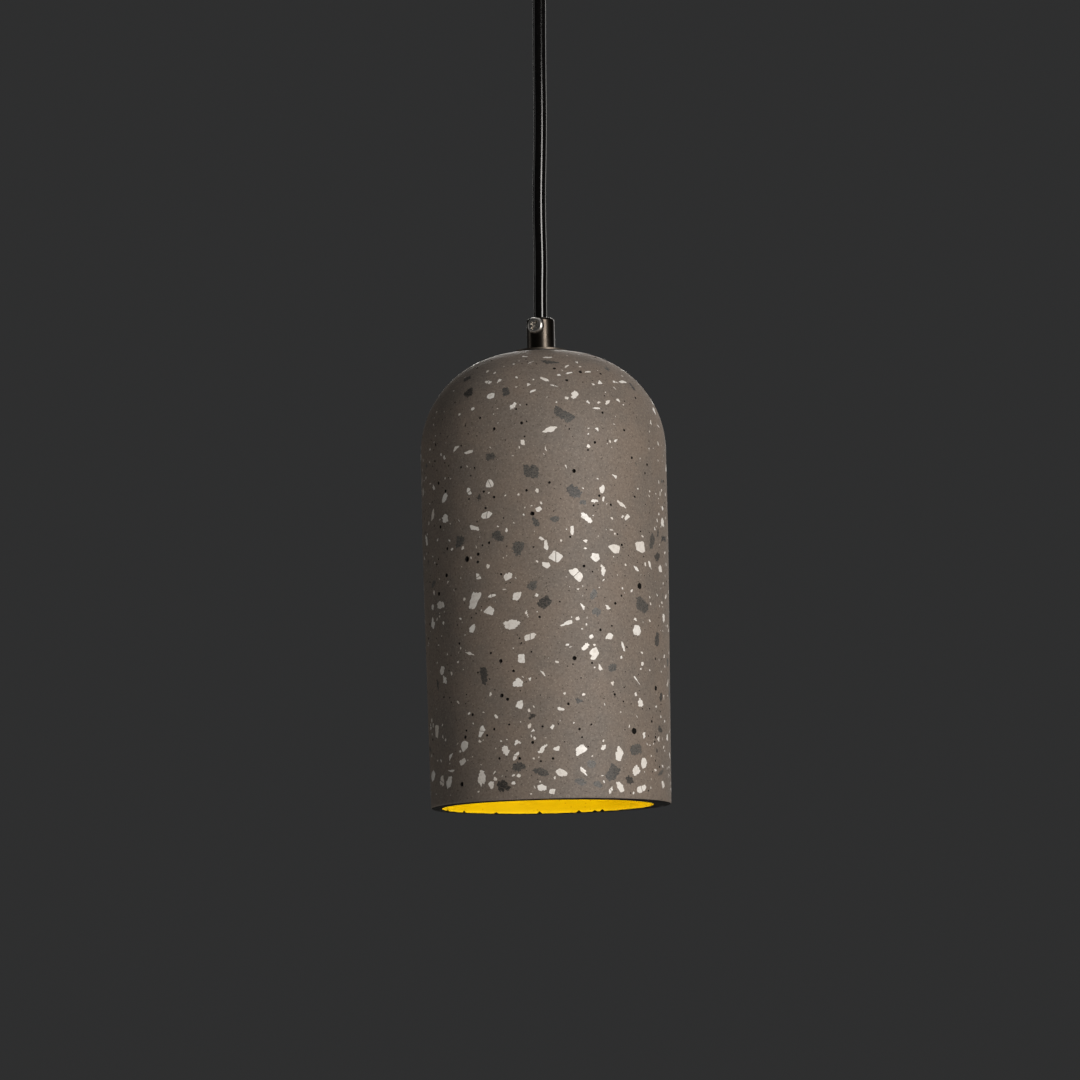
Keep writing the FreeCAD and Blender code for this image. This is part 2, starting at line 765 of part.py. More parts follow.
def lampholder():
    """Metal cap, phenolic body, ceramic insert, screw shell, contact and terminals."""
    hole = "rod_radius + fit_gap"
    neck_bottom = "-(cap_top + cap_neck_depth)"
    shoulder = f"{neck_bottom} - cap_slope"
    cap = turned(
        "holder_cap",
        [
            line(hole, "-cap_top"),
            line("cap_neck_radius", "-cap_top"),
            line("cap_neck_radius", neck_bottom),
            line("cap_radius", shoulder),
            line("cap_radius", "-cap_bottom"),
            line("cap_radius - cap_wall", "-cap_bottom"),
            line("cap_radius - cap_wall", f"{shoulder} - 0.7"),
            line("cap_neck_radius - cap_wall / 2", f"{neck_bottom} - cap_wall"),
            line(hole, f"{neck_bottom} - cap_wall"),
        ],
    )
    joint = "-(cap_bottom + 0.3)"
    collar_outer = "cap_radius - cap_wall - 0.1"
    insert_bore = "insert_radius + 0.1"
    body = turned(
        "holder_body",
        [
            line("holder_bore", "-holder_bottom"),
            line("holder_radius - holder_edge", "-holder_bottom"),
            arc("holder_radius", "-holder_bottom + holder_edge", "holder_edge", 1),
            line("holder_radius", joint),
            line(collar_outer, joint),
            line(collar_outer, "-holder_collar"),
            line(insert_bore, "-holder_collar"),
            line(insert_bore, "-insert_bottom"),
            line("holder_bore", "-insert_bottom"),
        ],
    )
    insert = ring("holder_insert", "1.5", "insert_radius", "-insert_bottom", "-insert_top")
    shell = ring("holder_shell", "shell_bore", "shell_radius", "-shell_bottom", "-insert_bottom")
    return [cap, body, insert, shell, centre_contact(), *holder_terminals(), earth_terminal()]


def centre_contact():
    """Bronze strip under the insert, bent down to a tongue that meets the bulb's tip."""
    thick, wide = "contact_thickness", "contact_width"
    ceiling = "-(drop + insert_bottom)"
    low = f"{ceiling} - contact_drop"
    foot_x = "lamp_offset + contact_foot_offset"
    riser_x = "lamp_offset + contact_riser_offset"
    tongue_x = "lamp_offset + contact_tongue_offset"
    foot = block("contact_foot_strip", "contact_foot", wide, thick, x=foot_x, z=f"{ceiling} - {thick}")
    riser = block("contact_riser_strip", thick, wide, "contact_drop", x=riser_x, z=low)
    tongue = block("contact_tongue_strip", "contact_tongue", wide, thick, x=tongue_x, z=low)
    return joined("holder_centre_contact", [foot, riser, tongue])


def holder_terminals():
    """Two brass terminals that stand on the insert, each with a screw from the side."""
    terminals, screws = [], []
    base = "-(drop + insert_top)"
    middle = f"{base} + terminal_height / 2"
    length = "terminal_screw_length"
    tip = "core_radius + fit_gap"
    for pole, sign in (("live", -1), ("neutral", 1)):
        x = f"lamp_offset + {sign} * terminal_offset"
        pillar = block(f"{pole}_pillar", "terminal_length", "terminal_width", "terminal_height", x=x, z=base)
        wire_hole = rod(f"{pole}_wire_hole", "core_radius + 0.1", "terminal_height", x=x, z=f"{base} + 1")
        side = "-terminal_width / 2"
        screw_hole = rod(f"{pole}_screw_hole", "m3_radius", 3.6, x=x, y=side, z=middle, along="Y")
        terminals.append(cut(f"{pole}_terminal", pillar, [wire_hole, screw_hole]))
        start = f"-({tip}) - {length}"
        screws.append(rod(f"{pole}_screw", "m3_radius - fit_gap", length, x=x, y=start, z=middle, along="Y"))
    return [together("holder_terminals", terminals), together("holder_terminal_screws", screws)]


def earth_terminal():
    """Brass block inside the cap for the earth core."""
    x, y, size = "lamp_offset", "earth_terminal_offset", "earth_terminal_size"
    base = f"-(drop + earth_terminal_top + {size})"
    pillar = block("earth_pillar", "earth_terminal_length", size, size, x=x, y=y, z=base)
    hole = rod("earth_wire_hole", "core_radius + 0.1", size, x=x, y=y, z=f"{base} + 1.5")
    return cut("holder_earth_terminal", pillar, [hole])


# ---------------------------------------------------------------- LED bulb


def bulb():
    """LED bulb: E27 cap with its insulator and tip, housing, driver, LED board and frosted globe."""
    cap_top, cap_bottom = "-bulb_cap_top", "-bulb_cap_bottom"
    inner = "bulb_cap_radius - bulb_cap_wall"
    corner = "bulb_cap_corner"
    cap = turned(
        "bulb_cap",
        [
            line(inner, cap_bottom),
            line("bulb_cap_radius", cap_bottom),
            line("bulb_cap_radius", f"{cap_top} - {corner}"),
            line(f"bulb_cap_radius - {corner} - 0.1", cap_top),
            line("bulb_cap_hole", cap_top),
            line("bulb_cap_hole", f"{cap_top} - bulb_cap_wall"),
            line(f"{inner} - {corner}", f"{cap_top} - bulb_cap_wall"),
            line(inner, f"{cap_top} - {corner} - 0.2"),
        ],
    )
    tip_bottom = "-bulb_tip - tip_height"
    insulator_bottom = f"{cap_top} - insulator_depth"
    insulator = turned(
        "bulb_cap_insulator",
        [
            line(0, tip_bottom),
            line("tip_radius + 0.2", tip_bottom),
            line("insulator_radius", f"{cap_top} + 0.1"),
            line("insulator_radius", insulator_bottom),
            line(0, insulator_bottom),
        ],
    )
    tip = turned(
        "bulb_tip_contact",
        [
            line(0, "-bulb_tip"),
            line("tip_radius - tip_edge", "-bulb_tip"),
            line("tip_radius", "-bulb_tip - tip_slope"),
            line("tip_radius", tip_bottom),
            line(0, tip_bottom),
        ],
    )
    return [cap, insulator, tip, bulb_housing(), bulb_globe(), *bulb_electronics()]


def bulb_housing():
    """Hollow plastic housing that flares from the cap to the globe's seam."""
    neck_outer = "bulb_cap_radius - bulb_cap_wall - 0.1"
    neck_inner = f"{neck_outer} - bulb_housing_wall"
    neck_top = "-bulb_cap_top - 6"
    shoulder = "-bulb_cap_bottom - 0.1"
    flare = "housing_flare"
    return turned(
        "bulb_housing",
        [
            line(neck_outer, neck_top),
            line(neck_outer, shoulder),
            line(f"{neck_outer} + 1.3", shoulder),
            line(f"{neck_outer} + 1.3", f"{shoulder} - 1.2"),
            arc("bulb_seam_radius", "-bulb_seam", flare, -1),
            line("bulb_seam_radius - bulb_housing_wall", "-bulb_seam"),
            arc(f"{neck_outer} - 0.3", f"{shoulder} - 1.6", f"{flare} - bulb_housing_wall", 1),
            line(neck_inner, shoulder),
            line(neck_inner, neck_top),
        ],
    )


def bulb_globe():
    """Frosted diffuser, a sphere's shell cut off just below the housing's seam."""
    rise = "(globe_centre - bulb_seam - bend_gap)"
    inner_radius = "(globe_radius - globe_wall)"
    edge = "-(bulb_seam + bend_gap)"
    return turned(
        "bulb_globe",
        [
            arc(f"sqrt({inner_radius}^2 - {rise}^2)", edge, inner_radius, 1),
            line(f"sqrt(globe_radius^2 - {rise}^2)", edge),
            arc(0, "-(globe_centre + globe_radius)", "globe_radius", -1),
            line(0, f"-(globe_centre + {inner_radius})"),
        ],
    )


def bulb_electronics():
    """Driver board upright in the housing, and the LED board across its mouth with a ring of LEDs."""
    board_bottom = "-(bulb_seam - 0.5)"
    board_top = f"{board_bottom} + board_thickness"
    board = ring("bulb_led_board", "board_hole", "board_radius", board_bottom, board_top)
    leds = []
    for index in range(LED_COUNT):
        angle = 360 * index / LED_COUNT
        leds.append(
            block(
                f"led_{index + 1}", "led_size", "led_size", "led_height",
                x=f"lamp_offset + led_circle * cos({angle})",
                y=f"led_circle * sin({angle})",
                z=f"-drop {board_bottom} - led_height",
            )
        )
    driver_z = "-drop - bulb_seam + 5"
    driver = block(
        "bulb_driver_board", "driver_length", "board_thickness", "driver_height", x="lamp_offset", z=driver_z
    )
    return [board, together("bulb_leds", leds), driver]


# ---------------------------------------------------------------- the whole lamp


def rose_group():
    """Everything that stays on the ceiling."""
    rod_bottom = "-(rose_depth + grip_thread_depth - 0.5)"
    return [
        *mounting_bracket(),
        *ceiling_rose(),
        *connector_block(),
        *earth_point(),
        *cord_grip("upper", "0", UPPER_MOUTH, -1),
        threaded_rod("upper_threaded_rod", rod_bottom, "(-rose_depth + 5.5)", 0),
        hex_nut("upper_locknut", "locknut_height", "-rose_depth + rose_wall", x=0),
        cord_tail("upper_cord_tail", 0, UPPER_MOUTH, ROSE_TAIL_END, -1),
        *wires_in_rose(),
    ]


def lamp_group():
    """Everything that hangs at the lower end of the cord, without the bulb."""
    rod_top = "(-drop + gasket_thickness + flange_thickness + grip_thread_depth - 0.5)"
    return [
        *cord_grip("lower", "lamp_offset", LOWER_MOUTH, 1),
        threaded_rod("lower_threaded_rod", "-(drop + cap_top + cap_neck_depth - 1)", rod_top, "lamp_offset"),
        *crown_stack(),
        *concrete_shade(),
        cord_tail("lower_cord_tail", "lamp_offset", LOWER_MOUTH, HOLDER_TAIL_END, 1),
        *wires_in_holder(),
        *lampholder(),
    ]


subparts = [*rose_group(), *cord_pieces(), *lamp_group(), *bulb()]
doc.recompute()

for thing in doc.Objects:
    if "Invalid" in thing.State or "Error" in thing.State:
        raise RuntimeError(f"{thing.Name} failed: {thing.State}")
for part in subparts:
    part.Label = part.Name
    if part.Shape.isNull() or not part.Shape.isValid():
        raise RuntimeError(f"{part.Label} has no valid shape")

os.makedirs("parts", exist_ok=True)
for part in subparts:
    part.Shape.exportStep(f"parts/{part.Label}.step")
print(f"{len(subparts)} sub-parts written")
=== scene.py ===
"""The looks of the pendant ceiling light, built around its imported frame.

Lengths are metres, and millimetres where a name or a comment says so. The lamp hangs from the ceiling at
z = 0.
"""

import json
import math
import random

import bmesh
import bpy
from mathutils import Matrix, Vector, geometry, noise


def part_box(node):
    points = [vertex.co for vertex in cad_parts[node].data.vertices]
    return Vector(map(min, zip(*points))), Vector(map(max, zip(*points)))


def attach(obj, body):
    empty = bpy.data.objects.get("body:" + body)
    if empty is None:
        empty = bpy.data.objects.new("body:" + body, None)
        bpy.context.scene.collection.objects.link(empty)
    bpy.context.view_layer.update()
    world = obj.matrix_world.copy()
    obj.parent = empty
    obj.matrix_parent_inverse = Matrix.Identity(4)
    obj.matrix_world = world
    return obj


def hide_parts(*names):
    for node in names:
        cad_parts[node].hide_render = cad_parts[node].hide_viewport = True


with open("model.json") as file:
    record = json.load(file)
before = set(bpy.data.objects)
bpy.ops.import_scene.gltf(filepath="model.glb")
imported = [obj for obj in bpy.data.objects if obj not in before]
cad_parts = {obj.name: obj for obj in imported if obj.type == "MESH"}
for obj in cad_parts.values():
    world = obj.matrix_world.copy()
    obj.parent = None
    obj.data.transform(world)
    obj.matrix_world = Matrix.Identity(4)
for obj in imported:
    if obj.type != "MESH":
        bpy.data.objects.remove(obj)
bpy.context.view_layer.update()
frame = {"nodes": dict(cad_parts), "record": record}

NODES = frame["nodes"]
MM = 0.001

# ---- places, from the frame

SHADE_LOW, SHADE_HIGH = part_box("shade")
AXIS = (SHADE_LOW.x + SHADE_HIGH.x) / 2
CROWN = SHADE_HIGH.z
RIM = SHADE_LOW.z
UPPER_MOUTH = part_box("upper_cord_grip")[0].z
LOWER_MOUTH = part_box("lower_cord_grip")[1].z
GLOBE_LOW, GLOBE_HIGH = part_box("bulb_globe")


# ---- camera, lights and floor

VIEW_DISTANCE = 2.05
EYE_BELOW_RIM = 0.13
EYE_ASIDE = -0.0026
LOOK_UP = math.radians(7.24)
CAMERA_ROLL = math.radians(1.27)
LENS = 141.0
FLOOR_BELOW_RIM = 1.9
FLOOR_REACH = 47.0
FLOOR_LIGHT_BELOW_RIM = 0.3
FLOOR_LIGHT_SIZE = (9.5, 9.5)
FLOOR_LIGHT_POWER = 68
SURROUND = (0.78, 0.79, 0.80, 1)
SURROUND_STRENGTH = 0.036
OVERHEAD = 89
# The lights round the lamp: name, azimuth and elevation in degrees, distance and size in metres, power in
# watts, colour, and spread in degrees
LIGHTS = [
    ("key", 36, 4, 1.9, (0.6, 1.0), 27, (1.0, 0.965, 0.925), 180),
    ("edge", 166, 22, 1.7, (1.6, 1.6), 2.2, (1.0, 0.97, 0.93), 100),
    ("fill", -105, 8, 2.0, (0.5, 1.2), 0.5, (1.0, 0.98, 0.96), 120),
    ("back", 180, 14, 2.0, (0.4, 1.4), 6, (1.0, 0.98, 0.95), 110),
    ("overhead", 0, OVERHEAD, 2.4, (2.2, 2.2), 9, (1.0, 0.98, 0.95), 180),
]


def in_scene(name, data):
    """A new object in the scene, which shows that data."""
    made = bpy.data.objects.new(name, data)
    bpy.context.scene.collection.objects.link(made)
    return made


def make_camera():
    """A long lens from a little below the shade, turned so that the lamp leans slightly in the picture."""
    lens = bpy.data.cameras.new("camera")
    lens.lens = LENS
    lens.sensor_width = 36.0
    lens.clip_end = 50.0
    camera = in_scene("camera", lens)
    turn = Matrix.Rotation(math.radians(90) + LOOK_UP, 4, "X") @ Matrix.Rotation(-CAMERA_ROLL, 4, "Z")
    camera.matrix_world = Matrix.Translation((AXIS + EYE_ASIDE, -VIEW_DISTANCE, RIM - EYE_BELOW_RIM)) @ turn
    bpy.context.scene.camera = camera


def make_light(target, name, azimuth, elevation, distance, size, power, colour, spread):
    """A soft light facing the target. Azimuth 0 is the camera's side, and positive is to the right."""
    lamp = bpy.data.lights.new(name, "AREA")
    lamp.shape = "RECTANGLE"
    lamp.size, lamp.size_y = size
    lamp.energy = power
    lamp.color = colour
    lamp.spread = math.radians(spread)
    light = in_scene(name, lamp)
    side, rise = math.radians(azimuth), math.radians(elevation)
    away = Vector((math.sin(side) * math.cos(rise), -math.cos(side) * math.cos(rise), math.sin(rise)))
    light.location = target + away * distance
    light.rotation_euler = (-away).to_track_quat("-Z", "Y").to_euler()
    light.visible_camera = False


def make_studio():
    """Lights round the lamp, dim surroundings, and a pale floor with a light of its own."""
    for light in LIGHTS:
        make_light(Vector((AXIS, 0, (CROWN + RIM) / 2)), *light)
    level = RIM - FLOOR_BELOW_RIM
    make_light(Vector((AXIS, 0, level)), "floor_light", 0, OVERHEAD, FLOOR_BELOW_RIM - FLOOR_LIGHT_BELOW_RIM,
               FLOOR_LIGHT_SIZE, FLOOR_LIGHT_POWER, (1.0, 0.98, 0.96), 180)
    world = bpy.data.worlds.new("studio")
    world.use_nodes = True
    background = world.node_tree.nodes["Background"].inputs
    background["Color"].default_value = SURROUND
    background["Strength"].default_value = SURROUND_STRENGTH
    bpy.context.scene.world = world
    bpy.context.scene.view_settings.view_transform = "Standard"
    floor = bpy.data.meshes.new("floor")
    corners = [(x * FLOOR_REACH, y * FLOOR_REACH, level) for x, y in ((-1, -1), (1, -1), (1, 1), (-1, 1))]
    floor.from_pydata(corners, [], [(0, 1, 2, 3)])
    floor.materials.append(pale_floor())
    floor_object = in_scene("floor", floor)


# ---- material tools


def rgb(red, green, blue):
    """A display colour, 0 to 255 a channel, as the linear colour that shaders take."""
    def linear(value):
        share = value / 255
        return share / 12.92 if share <= 0.04045 else ((share + 0.055) / 1.055) ** 2.4
    return (linear(red), linear(green), linear(blue), 1.0)


class Paint:
    """A procedural material, and the nodes that feed its shader."""

    def __init__(self, name, colour, roughness, metallic=0.0, **sockets):
        self.material = bpy.data.materials.new(name)
        self.material.use_nodes = True
        self.material.diffuse_color = colour
        self.inputs = self.material.node_tree.nodes["Principled BSDF"].inputs
        self.inputs["Base Color"].default_value = colour
        self.inputs["Roughness"].default_value = roughness
        self.inputs["Metallic"].default_value = metallic
        for socket, value in sockets.items():
            self.inputs[socket.replace("_", " ")].default_value = value

    def node(self, kind, **settings):
        """A shader node of that kind. A setting names one of the node's own properties."""
        made = self.material.node_tree.nodes.new("ShaderNode" + kind)
        for setting, value in settings.items():
            setattr(made, setting, value)
        return made

    def join(self, output, target):
        self.material.node_tree.links.new(output, target)

    def give(self, sockets, values):
        """Sets each socket to a plain value, or joins another node's output to it."""
        for socket, value in zip(sockets, values):
            if isinstance(value, (int, float, tuple)):
                socket.default_value = value
            else:
                self.join(value, socket)

    def feed(self, socket, output):
        """Drives one socket of the shader."""
        self.join(output, self.inputs[socket])

    def millimetres(self, stretch=(1, 1, 1), turn=(0, 0, 0)):
        """The piece's own coordinates in millimetres, stretched and turned."""
        place = self.node("TexCoord")
        scaled = self.node("Mapping")
        scaled.inputs["Scale"].default_value = [1000 * s for s in stretch]
        scaled.inputs["Rotation"].default_value = [math.radians(t) for t in turn]
        self.join(place.outputs["Object"], scaled.inputs["Vector"])
        return scaled.outputs["Vector"]

    def height(self):
        """How high a point is, in millimetres."""
        split = self.node("SeparateXYZ")
        self.join(self.millimetres(), split.inputs["Vector"])
        return split.outputs["Z"]

    def noise(self, size_mm, detail, roughness, distortion=0.0, **place):
        """Cloudy noise whose lumps are about size_mm across, as a factor from 0 to 1."""
        made = self.node("TexNoise")
        sockets = [made.inputs[name] for name in ("Vector", "Scale", "Detail", "Roughness", "Distortion")]
        self.give(sockets, (self.millimetres(**place), 1 / size_mm, detail, roughness, distortion))
        return made.outputs["Fac"]

    def cells(self, size_mm, feature="F1", **place):
        """Voronoi cells about size_mm apart: the distance to a middle, or to an edge."""
        made = self.node("TexVoronoi", feature=feature)
        self.give((made.inputs["Vector"], made.inputs["Scale"]), (self.millimetres(**place), 1 / size_mm))
        return made.outputs["Distance"]

    def mapped(self, factor, low, high, to_low=0.0, to_high=1.0):
        """factor between low and high, spread over to_low to to_high and held there outside."""
        made = self.node("MapRange", clamp=True)
        sockets = [made.inputs[name] for name in ("Value", "From Min", "From Max", "To Min", "To Max")]
        self.give(sockets, (factor, low, high, to_low, to_high))
        return made.outputs["Result"]

    def maths(self, operation, first, second):
        made = self.node("Math", operation=operation)
        self.give(made.inputs, (first, second))
        return made.outputs[0]

    def mixed(self, factor, first, second):
        """Two colours mixed by a factor. Each is a colour or another node's output."""
        made = self.node("Mix", data_type="RGBA")
        self.give((made.inputs["Factor"], made.inputs[6], made.inputs[7]), (factor, first, second))
        return made.outputs[2]

    def tinted(self, colour, other, factor, low, high, most):
        """colour, with up to that much of the other mixed in as factor goes from low to high."""
        return self.mixed(self.mapped(factor, low, high, 0, most), colour, other)

    def chip_tone(self):
        """The tone that each chip's faces carry, from 0 to 1."""
        return self.node("Attribute", attribute_name="chip_tone").outputs["Fac"]

    def finish(self, colour, unevenness, smooth, rough):
        """Feeds the colour, and a roughness that wanders between two values."""
        self.feed("Base Color", colour)
        self.feed("Roughness", self.mapped(unevenness, 0.3, 0.7, smooth, rough))

    def relief(self, height, strength, depth_mm):
        """Small bumps that only the light shows."""
        bump = self.node("Bump")
        bump.inputs["Strength"].default_value = strength
        bump.inputs["Distance"].default_value = depth_mm * MM
        self.join(height, bump.inputs["Height"])
        self.feed("Normal", bump.outputs["Normal"])


# ---- materials of the shade

MATRIX_WARM = rgb(133, 119, 107)
MATRIX_COOL = rgb(123, 113, 104)
MATRIX_DARK = rgb(92, 81, 72)
MATRIX_PALE = rgb(166, 153, 140)


def concrete_matrix():
    """Honed grey-brown cement: cloudy, finely grained, with sand grains and faint sanding streaks."""
    paint = Paint("concrete_matrix", MATRIX_WARM, 0.62)
    clouds = paint.mapped(paint.noise(24, 5, 0.65), 0.38, 0.62)
    colour = paint.mixed(clouds, MATRIX_WARM, MATRIX_COOL)
    grain = paint.noise(1.1, 5, 0.8)
    colour = paint.tinted(colour, MATRIX_DARK, grain, 0.52, 0.64, 0.5)
    colour = paint.tinted(colour, MATRIX_PALE, grain, 0.48, 0.37, 0.35)
    streaks = paint.noise(0.9, 4, 0.7, stretch=(0.12, 0.12, 1), turn=(0, 5, 0))
    colour = paint.tinted(colour, MATRIX_PALE, streaks, 0.55, 0.75, 0.16)
    sand = paint.mapped(paint.cells(1.5), 0.10, 0.2, 0.4, 0.0)
    colour = paint.mixed(sand, colour, rgb(196, 184, 170))
    dark_sand = paint.mapped(paint.cells(1.9, turn=(35, 20, 50)), 0.10, 0.19, 0.75, 0.0)
    colour = paint.mixed(dark_sand, colour, rgb(62, 54, 47))
    paint.finish(colour, grain, 0.56, 0.72)
    paint.relief(grain, 0.35, 0.1)
    return paint.material


def white_chip():
    """Crushed white marble: off-white, a little different from chip to chip, faintly clouded."""
    paint = Paint("white_chip", rgb(226, 218, 206), 0.38)
    colour = paint.mixed(paint.chip_tone(), rgb(252, 248, 242), rgb(236, 227, 217))
    clouds = paint.noise(1.6, 4, 0.65)
    colour = paint.tinted(colour, rgb(206, 195, 184), clouds, 0.5, 0.62, 0.4)
    paint.finish(colour, clouds, 0.30, 0.46)
    paint.relief(clouds, 0.15, 0.05)
    return paint.material


def charcoal_chip():
    """Dark limestone: from near black to a blue grey close to the cement, streaked like slate."""
    paint = Paint("charcoal_chip", rgb(70, 68, 66), 0.42)
    colour = paint.mixed(paint.chip_tone(), rgb(46, 44, 42), rgb(104, 102, 98))
    slate = paint.noise(1.3, 5, 0.75, 0.8, stretch=(1, 1, 2.4), turn=(18, 32, 0))
    colour = paint.tinted(colour, MATRIX_COOL, slate, 0.47, 0.57, 0.5)
    flecks = paint.noise(0.6, 3, 0.7)
    colour = paint.tinted(colour, rgb(32, 30, 29), flecks, 0.50, 0.60, 0.7)
    paint.finish(colour, flecks, 0.42, 0.6)
    paint.relief(slate, 0.2, 0.06)
    return paint.material


def pit_painted_shade():
    """The inside of an air bubble, near-black: painted shade on top of the shade its depth gives, with a fine
    grain.
    """
    paint = Paint("pit_painted_shade", rgb(26, 22, 19), 0.9)
    grain = paint.noise(0.4, 3, 0.6)
    paint.feed("Base Color", paint.mixed(paint.mapped(grain, 0.35, 0.7), rgb(14, 12, 10), rgb(40, 34, 29)))
    paint.relief(grain, 0.5, 0.1)
    return paint.material


def rim_black():
    """Near-black on the rim's face, with the cement's grain showing through in lighter flecks."""
    paint = Paint("rim_black", rgb(10, 9, 8), 0.9, Specular_IOR_Level=0.15)
    grain = paint.noise(0.7, 4, 0.7)
    worn = paint.mapped(grain, 0.68, 0.78, 0, 0.5)
    paint.finish(paint.mixed(worn, rgb(9, 8, 7), rgb(40, 35, 31)), grain, 0.8, 0.95)
    paint.relief(grain, 0.5, 0.12)
    return paint.material


def yellow_paint():
    """Yellow enamel brushed over the cast wall: a slight sheen, brush lines round the wall, small bubbles,
    and painted light along its lower edge.
    """
    paint = Paint("yellow_paint", rgb(238, 212, 3), 0.6, Specular_IOR_Level=0.1)
    clouds = paint.noise(22, 3, 0.6)
    colour = paint.mixed(paint.mapped(clouds, 0.35, 0.65), rgb(240, 214, 3), rgb(234, 206, 2))
    brush = paint.noise(1.2, 4, 0.65, stretch=(0.06, 0.06, 1))
    colour = paint.tinted(colour, rgb(248, 218, 20), brush, 0.55, 0.8, 0.35)
    # Painted light: the lowest two millimetres above the rim are a lighter yellow, standing in for light
    # along the paint's lower edge.
    painted_light_at_rim = paint.mapped(paint.height(), RIM / MM + 0.4, RIM / MM + 2.0, 0.8, 0.0)
    colour = paint.mixed(painted_light_at_rim, colour, rgb(255, 228, 30))
    bubbles = paint.mapped(paint.cells(3.4), 0.06, 0.11, 0.5, 0.0)
    colour = paint.mixed(bubbles, colour, rgb(176, 112, 0))
    paint.finish(colour, brush, 0.5, 0.68)
    peel = paint.noise(0.8, 3, 0.6)
    paint.relief(paint.maths("ADD", peel, brush), 0.3, 0.08)
    return paint.material


# ---- materials of everything else


def coated(name, colour, worn, roughness, peel_mm=0.7):
    """Powder coat or paint on metal: orange peel, a soft sheen, the odd dust speck."""
    paint = Paint(name, colour, roughness, Coat_Weight=0.15, Coat_Roughness=0.3)
    peel = paint.noise(peel_mm, 3, 0.55)
    smudges = paint.noise(14, 4, 0.6)
    dust = paint.mapped(paint.cells(4.0), 0.03, 0.06, 0.6, 0.0)
    shade = paint.tinted(colour, worn, smudges, 0.35, 0.7, 0.5)
    paint.finish(paint.mixed(dust, shade, rgb(150, 146, 140)), smudges, roughness - 0.06, roughness + 0.08)
    paint.relief(peel, 0.25, 0.05)
    return paint.material


def plated(name, colour, roughness, turned_lines=0.0):
    """Plated or bare metal: small scratches, fingermarks, and lathe lines where it was turned."""
    paint = Paint(name, colour, roughness, 1.0)
    smudges = paint.noise(6, 4, 0.6)
    scratches = paint.noise(0.22, 2, 0.6, stretch=(1, 0.08, 1), turn=(12, 0, 33))
    darker = tuple(0.72 * channel for channel in colour[:3]) + (1.0,)
    paint.feed("Base Color", paint.tinted(colour, darker, smudges, 0.35, 0.75, 0.6))
    smeared = paint.mapped(smudges, 0.3, 0.7, roughness - 0.04, roughness + 0.07)
    scratched = paint.mapped(scratches, 0.62, 0.75, 0, 0.12)
    paint.feed("Roughness", paint.maths("ADD", smeared, scratched))
    lines = paint.noise(0.12, 2, 0.5, stretch=(0.02, 0.02, 1))
    paint.relief(paint.mixed(turned_lines, scratches, lines), 0.12, 0.02)
    return paint.material


def moulded(name, colour, roughness, grain_mm=0.5, subsurface=0.0):
    """Moulded plastic, rubber or phenolic, with the mould's fine grain and slight flow marks."""
    paint = Paint(name, colour, roughness, Subsurface_Weight=subsurface)
    paint.inputs["Subsurface Scale"].default_value = 0.002
    grain = paint.noise(grain_mm, 3, 0.6)
    flow = paint.noise(9, 3, 0.5, 1.5)
    other = tuple(min(1.0, 1.35 * channel + 0.004) for channel in colour[:3]) + (1.0,)
    paint.finish(paint.tinted(colour, other, flow, 0.4, 0.75, 0.5), grain, roughness - 0.05, roughness + 0.07)
    paint.relief(grain, 0.2, 0.04)
    return paint.material


def cord_sheath():
    """Glossy black PVC: nearly smooth, with the faint lengthwise lines that the extruder leaves."""
    paint = Paint("cord_sheath", rgb(10, 9, 9), 0.2)
    lines = paint.noise(0.5, 3, 0.6, stretch=(1, 1, 0.02))
    marks = paint.noise(3.0, 4, 0.65)
    paint.feed("Base Color", paint.mixed(paint.mapped(marks, 0.45, 0.8), rgb(8, 7, 7), rgb(16, 15, 14)))
    paint.feed("Roughness", paint.mapped(marks, 0.3, 0.75, 0.10, 0.15))
    paint.relief(lines, 0.02, 0.005)
    return paint.material


def glowing_globe():
    """Opal polycarbonate with the light behind it: brighter in the middle of the dome than at its skirt."""
    glow = (1.0, 0.96, 0.90, 1.0)
    paint = Paint("glowing_globe", rgb(250, 246, 238), 0.35, Emission_Color=glow)
    depth = paint.mapped(paint.height(), GLOBE_HIGH.z / MM, GLOBE_LOW.z / MM, 2.7, 4.0)
    mottle = paint.noise(5, 3, 0.6)
    unevenness = paint.mapped(mottle, 0.3, 0.7, 0.94, 1.06)
    paint.feed("Emission Strength", paint.maths("MULTIPLY", depth, unevenness))
    paint.feed("Base Color", paint.mixed(mottle, rgb(252, 249, 243), rgb(243, 238, 228)))
    paint.relief(paint.noise(0.4, 2, 0.5), 0.1, 0.02)
    return paint.material


def earth_core():
    """Green PVC with two yellow stripes along it."""
    paint = Paint("earth_core", rgb(40, 120, 50), 0.4)
    stripes = paint.noise(1.1, 1, 0.5, stretch=(1, 1, 0.05))
    share = paint.mapped(stripes, 0.50, 0.53)
    paint.feed("Base Color", paint.mixed(share, rgb(32, 112, 44), rgb(222, 196, 30)))
    paint.relief(stripes, 0.1, 0.03)
    return paint.material


def circuit_board(name, colour, track):
    """Fibreglass under solder mask, with tracks showing through."""
    paint = Paint(name, colour, 0.35)
    tracks = paint.mapped(paint.cells(3.0, feature="DISTANCE_TO_EDGE"), 0.05, 0.08, 1.0, 0.0)
    weave = paint.noise(0.5, 2, 0.5)
    paint.finish(paint.mixed(tracks, colour, track), weave, 0.3, 0.45)
    paint.relief(weave, 0.15, 0.03)
    return paint.material


def pale_floor():
    """A matt studio floor, with a trace of unevenness."""
    paint = Paint("pale_floor", rgb(242, 240, 236), 0.75)
    clouds = paint.noise(600, 3, 0.5)
    paint.feed("Base Color", paint.mixed(clouds, rgb(244, 242, 238), rgb(240, 238, 234)))
    return paint.material


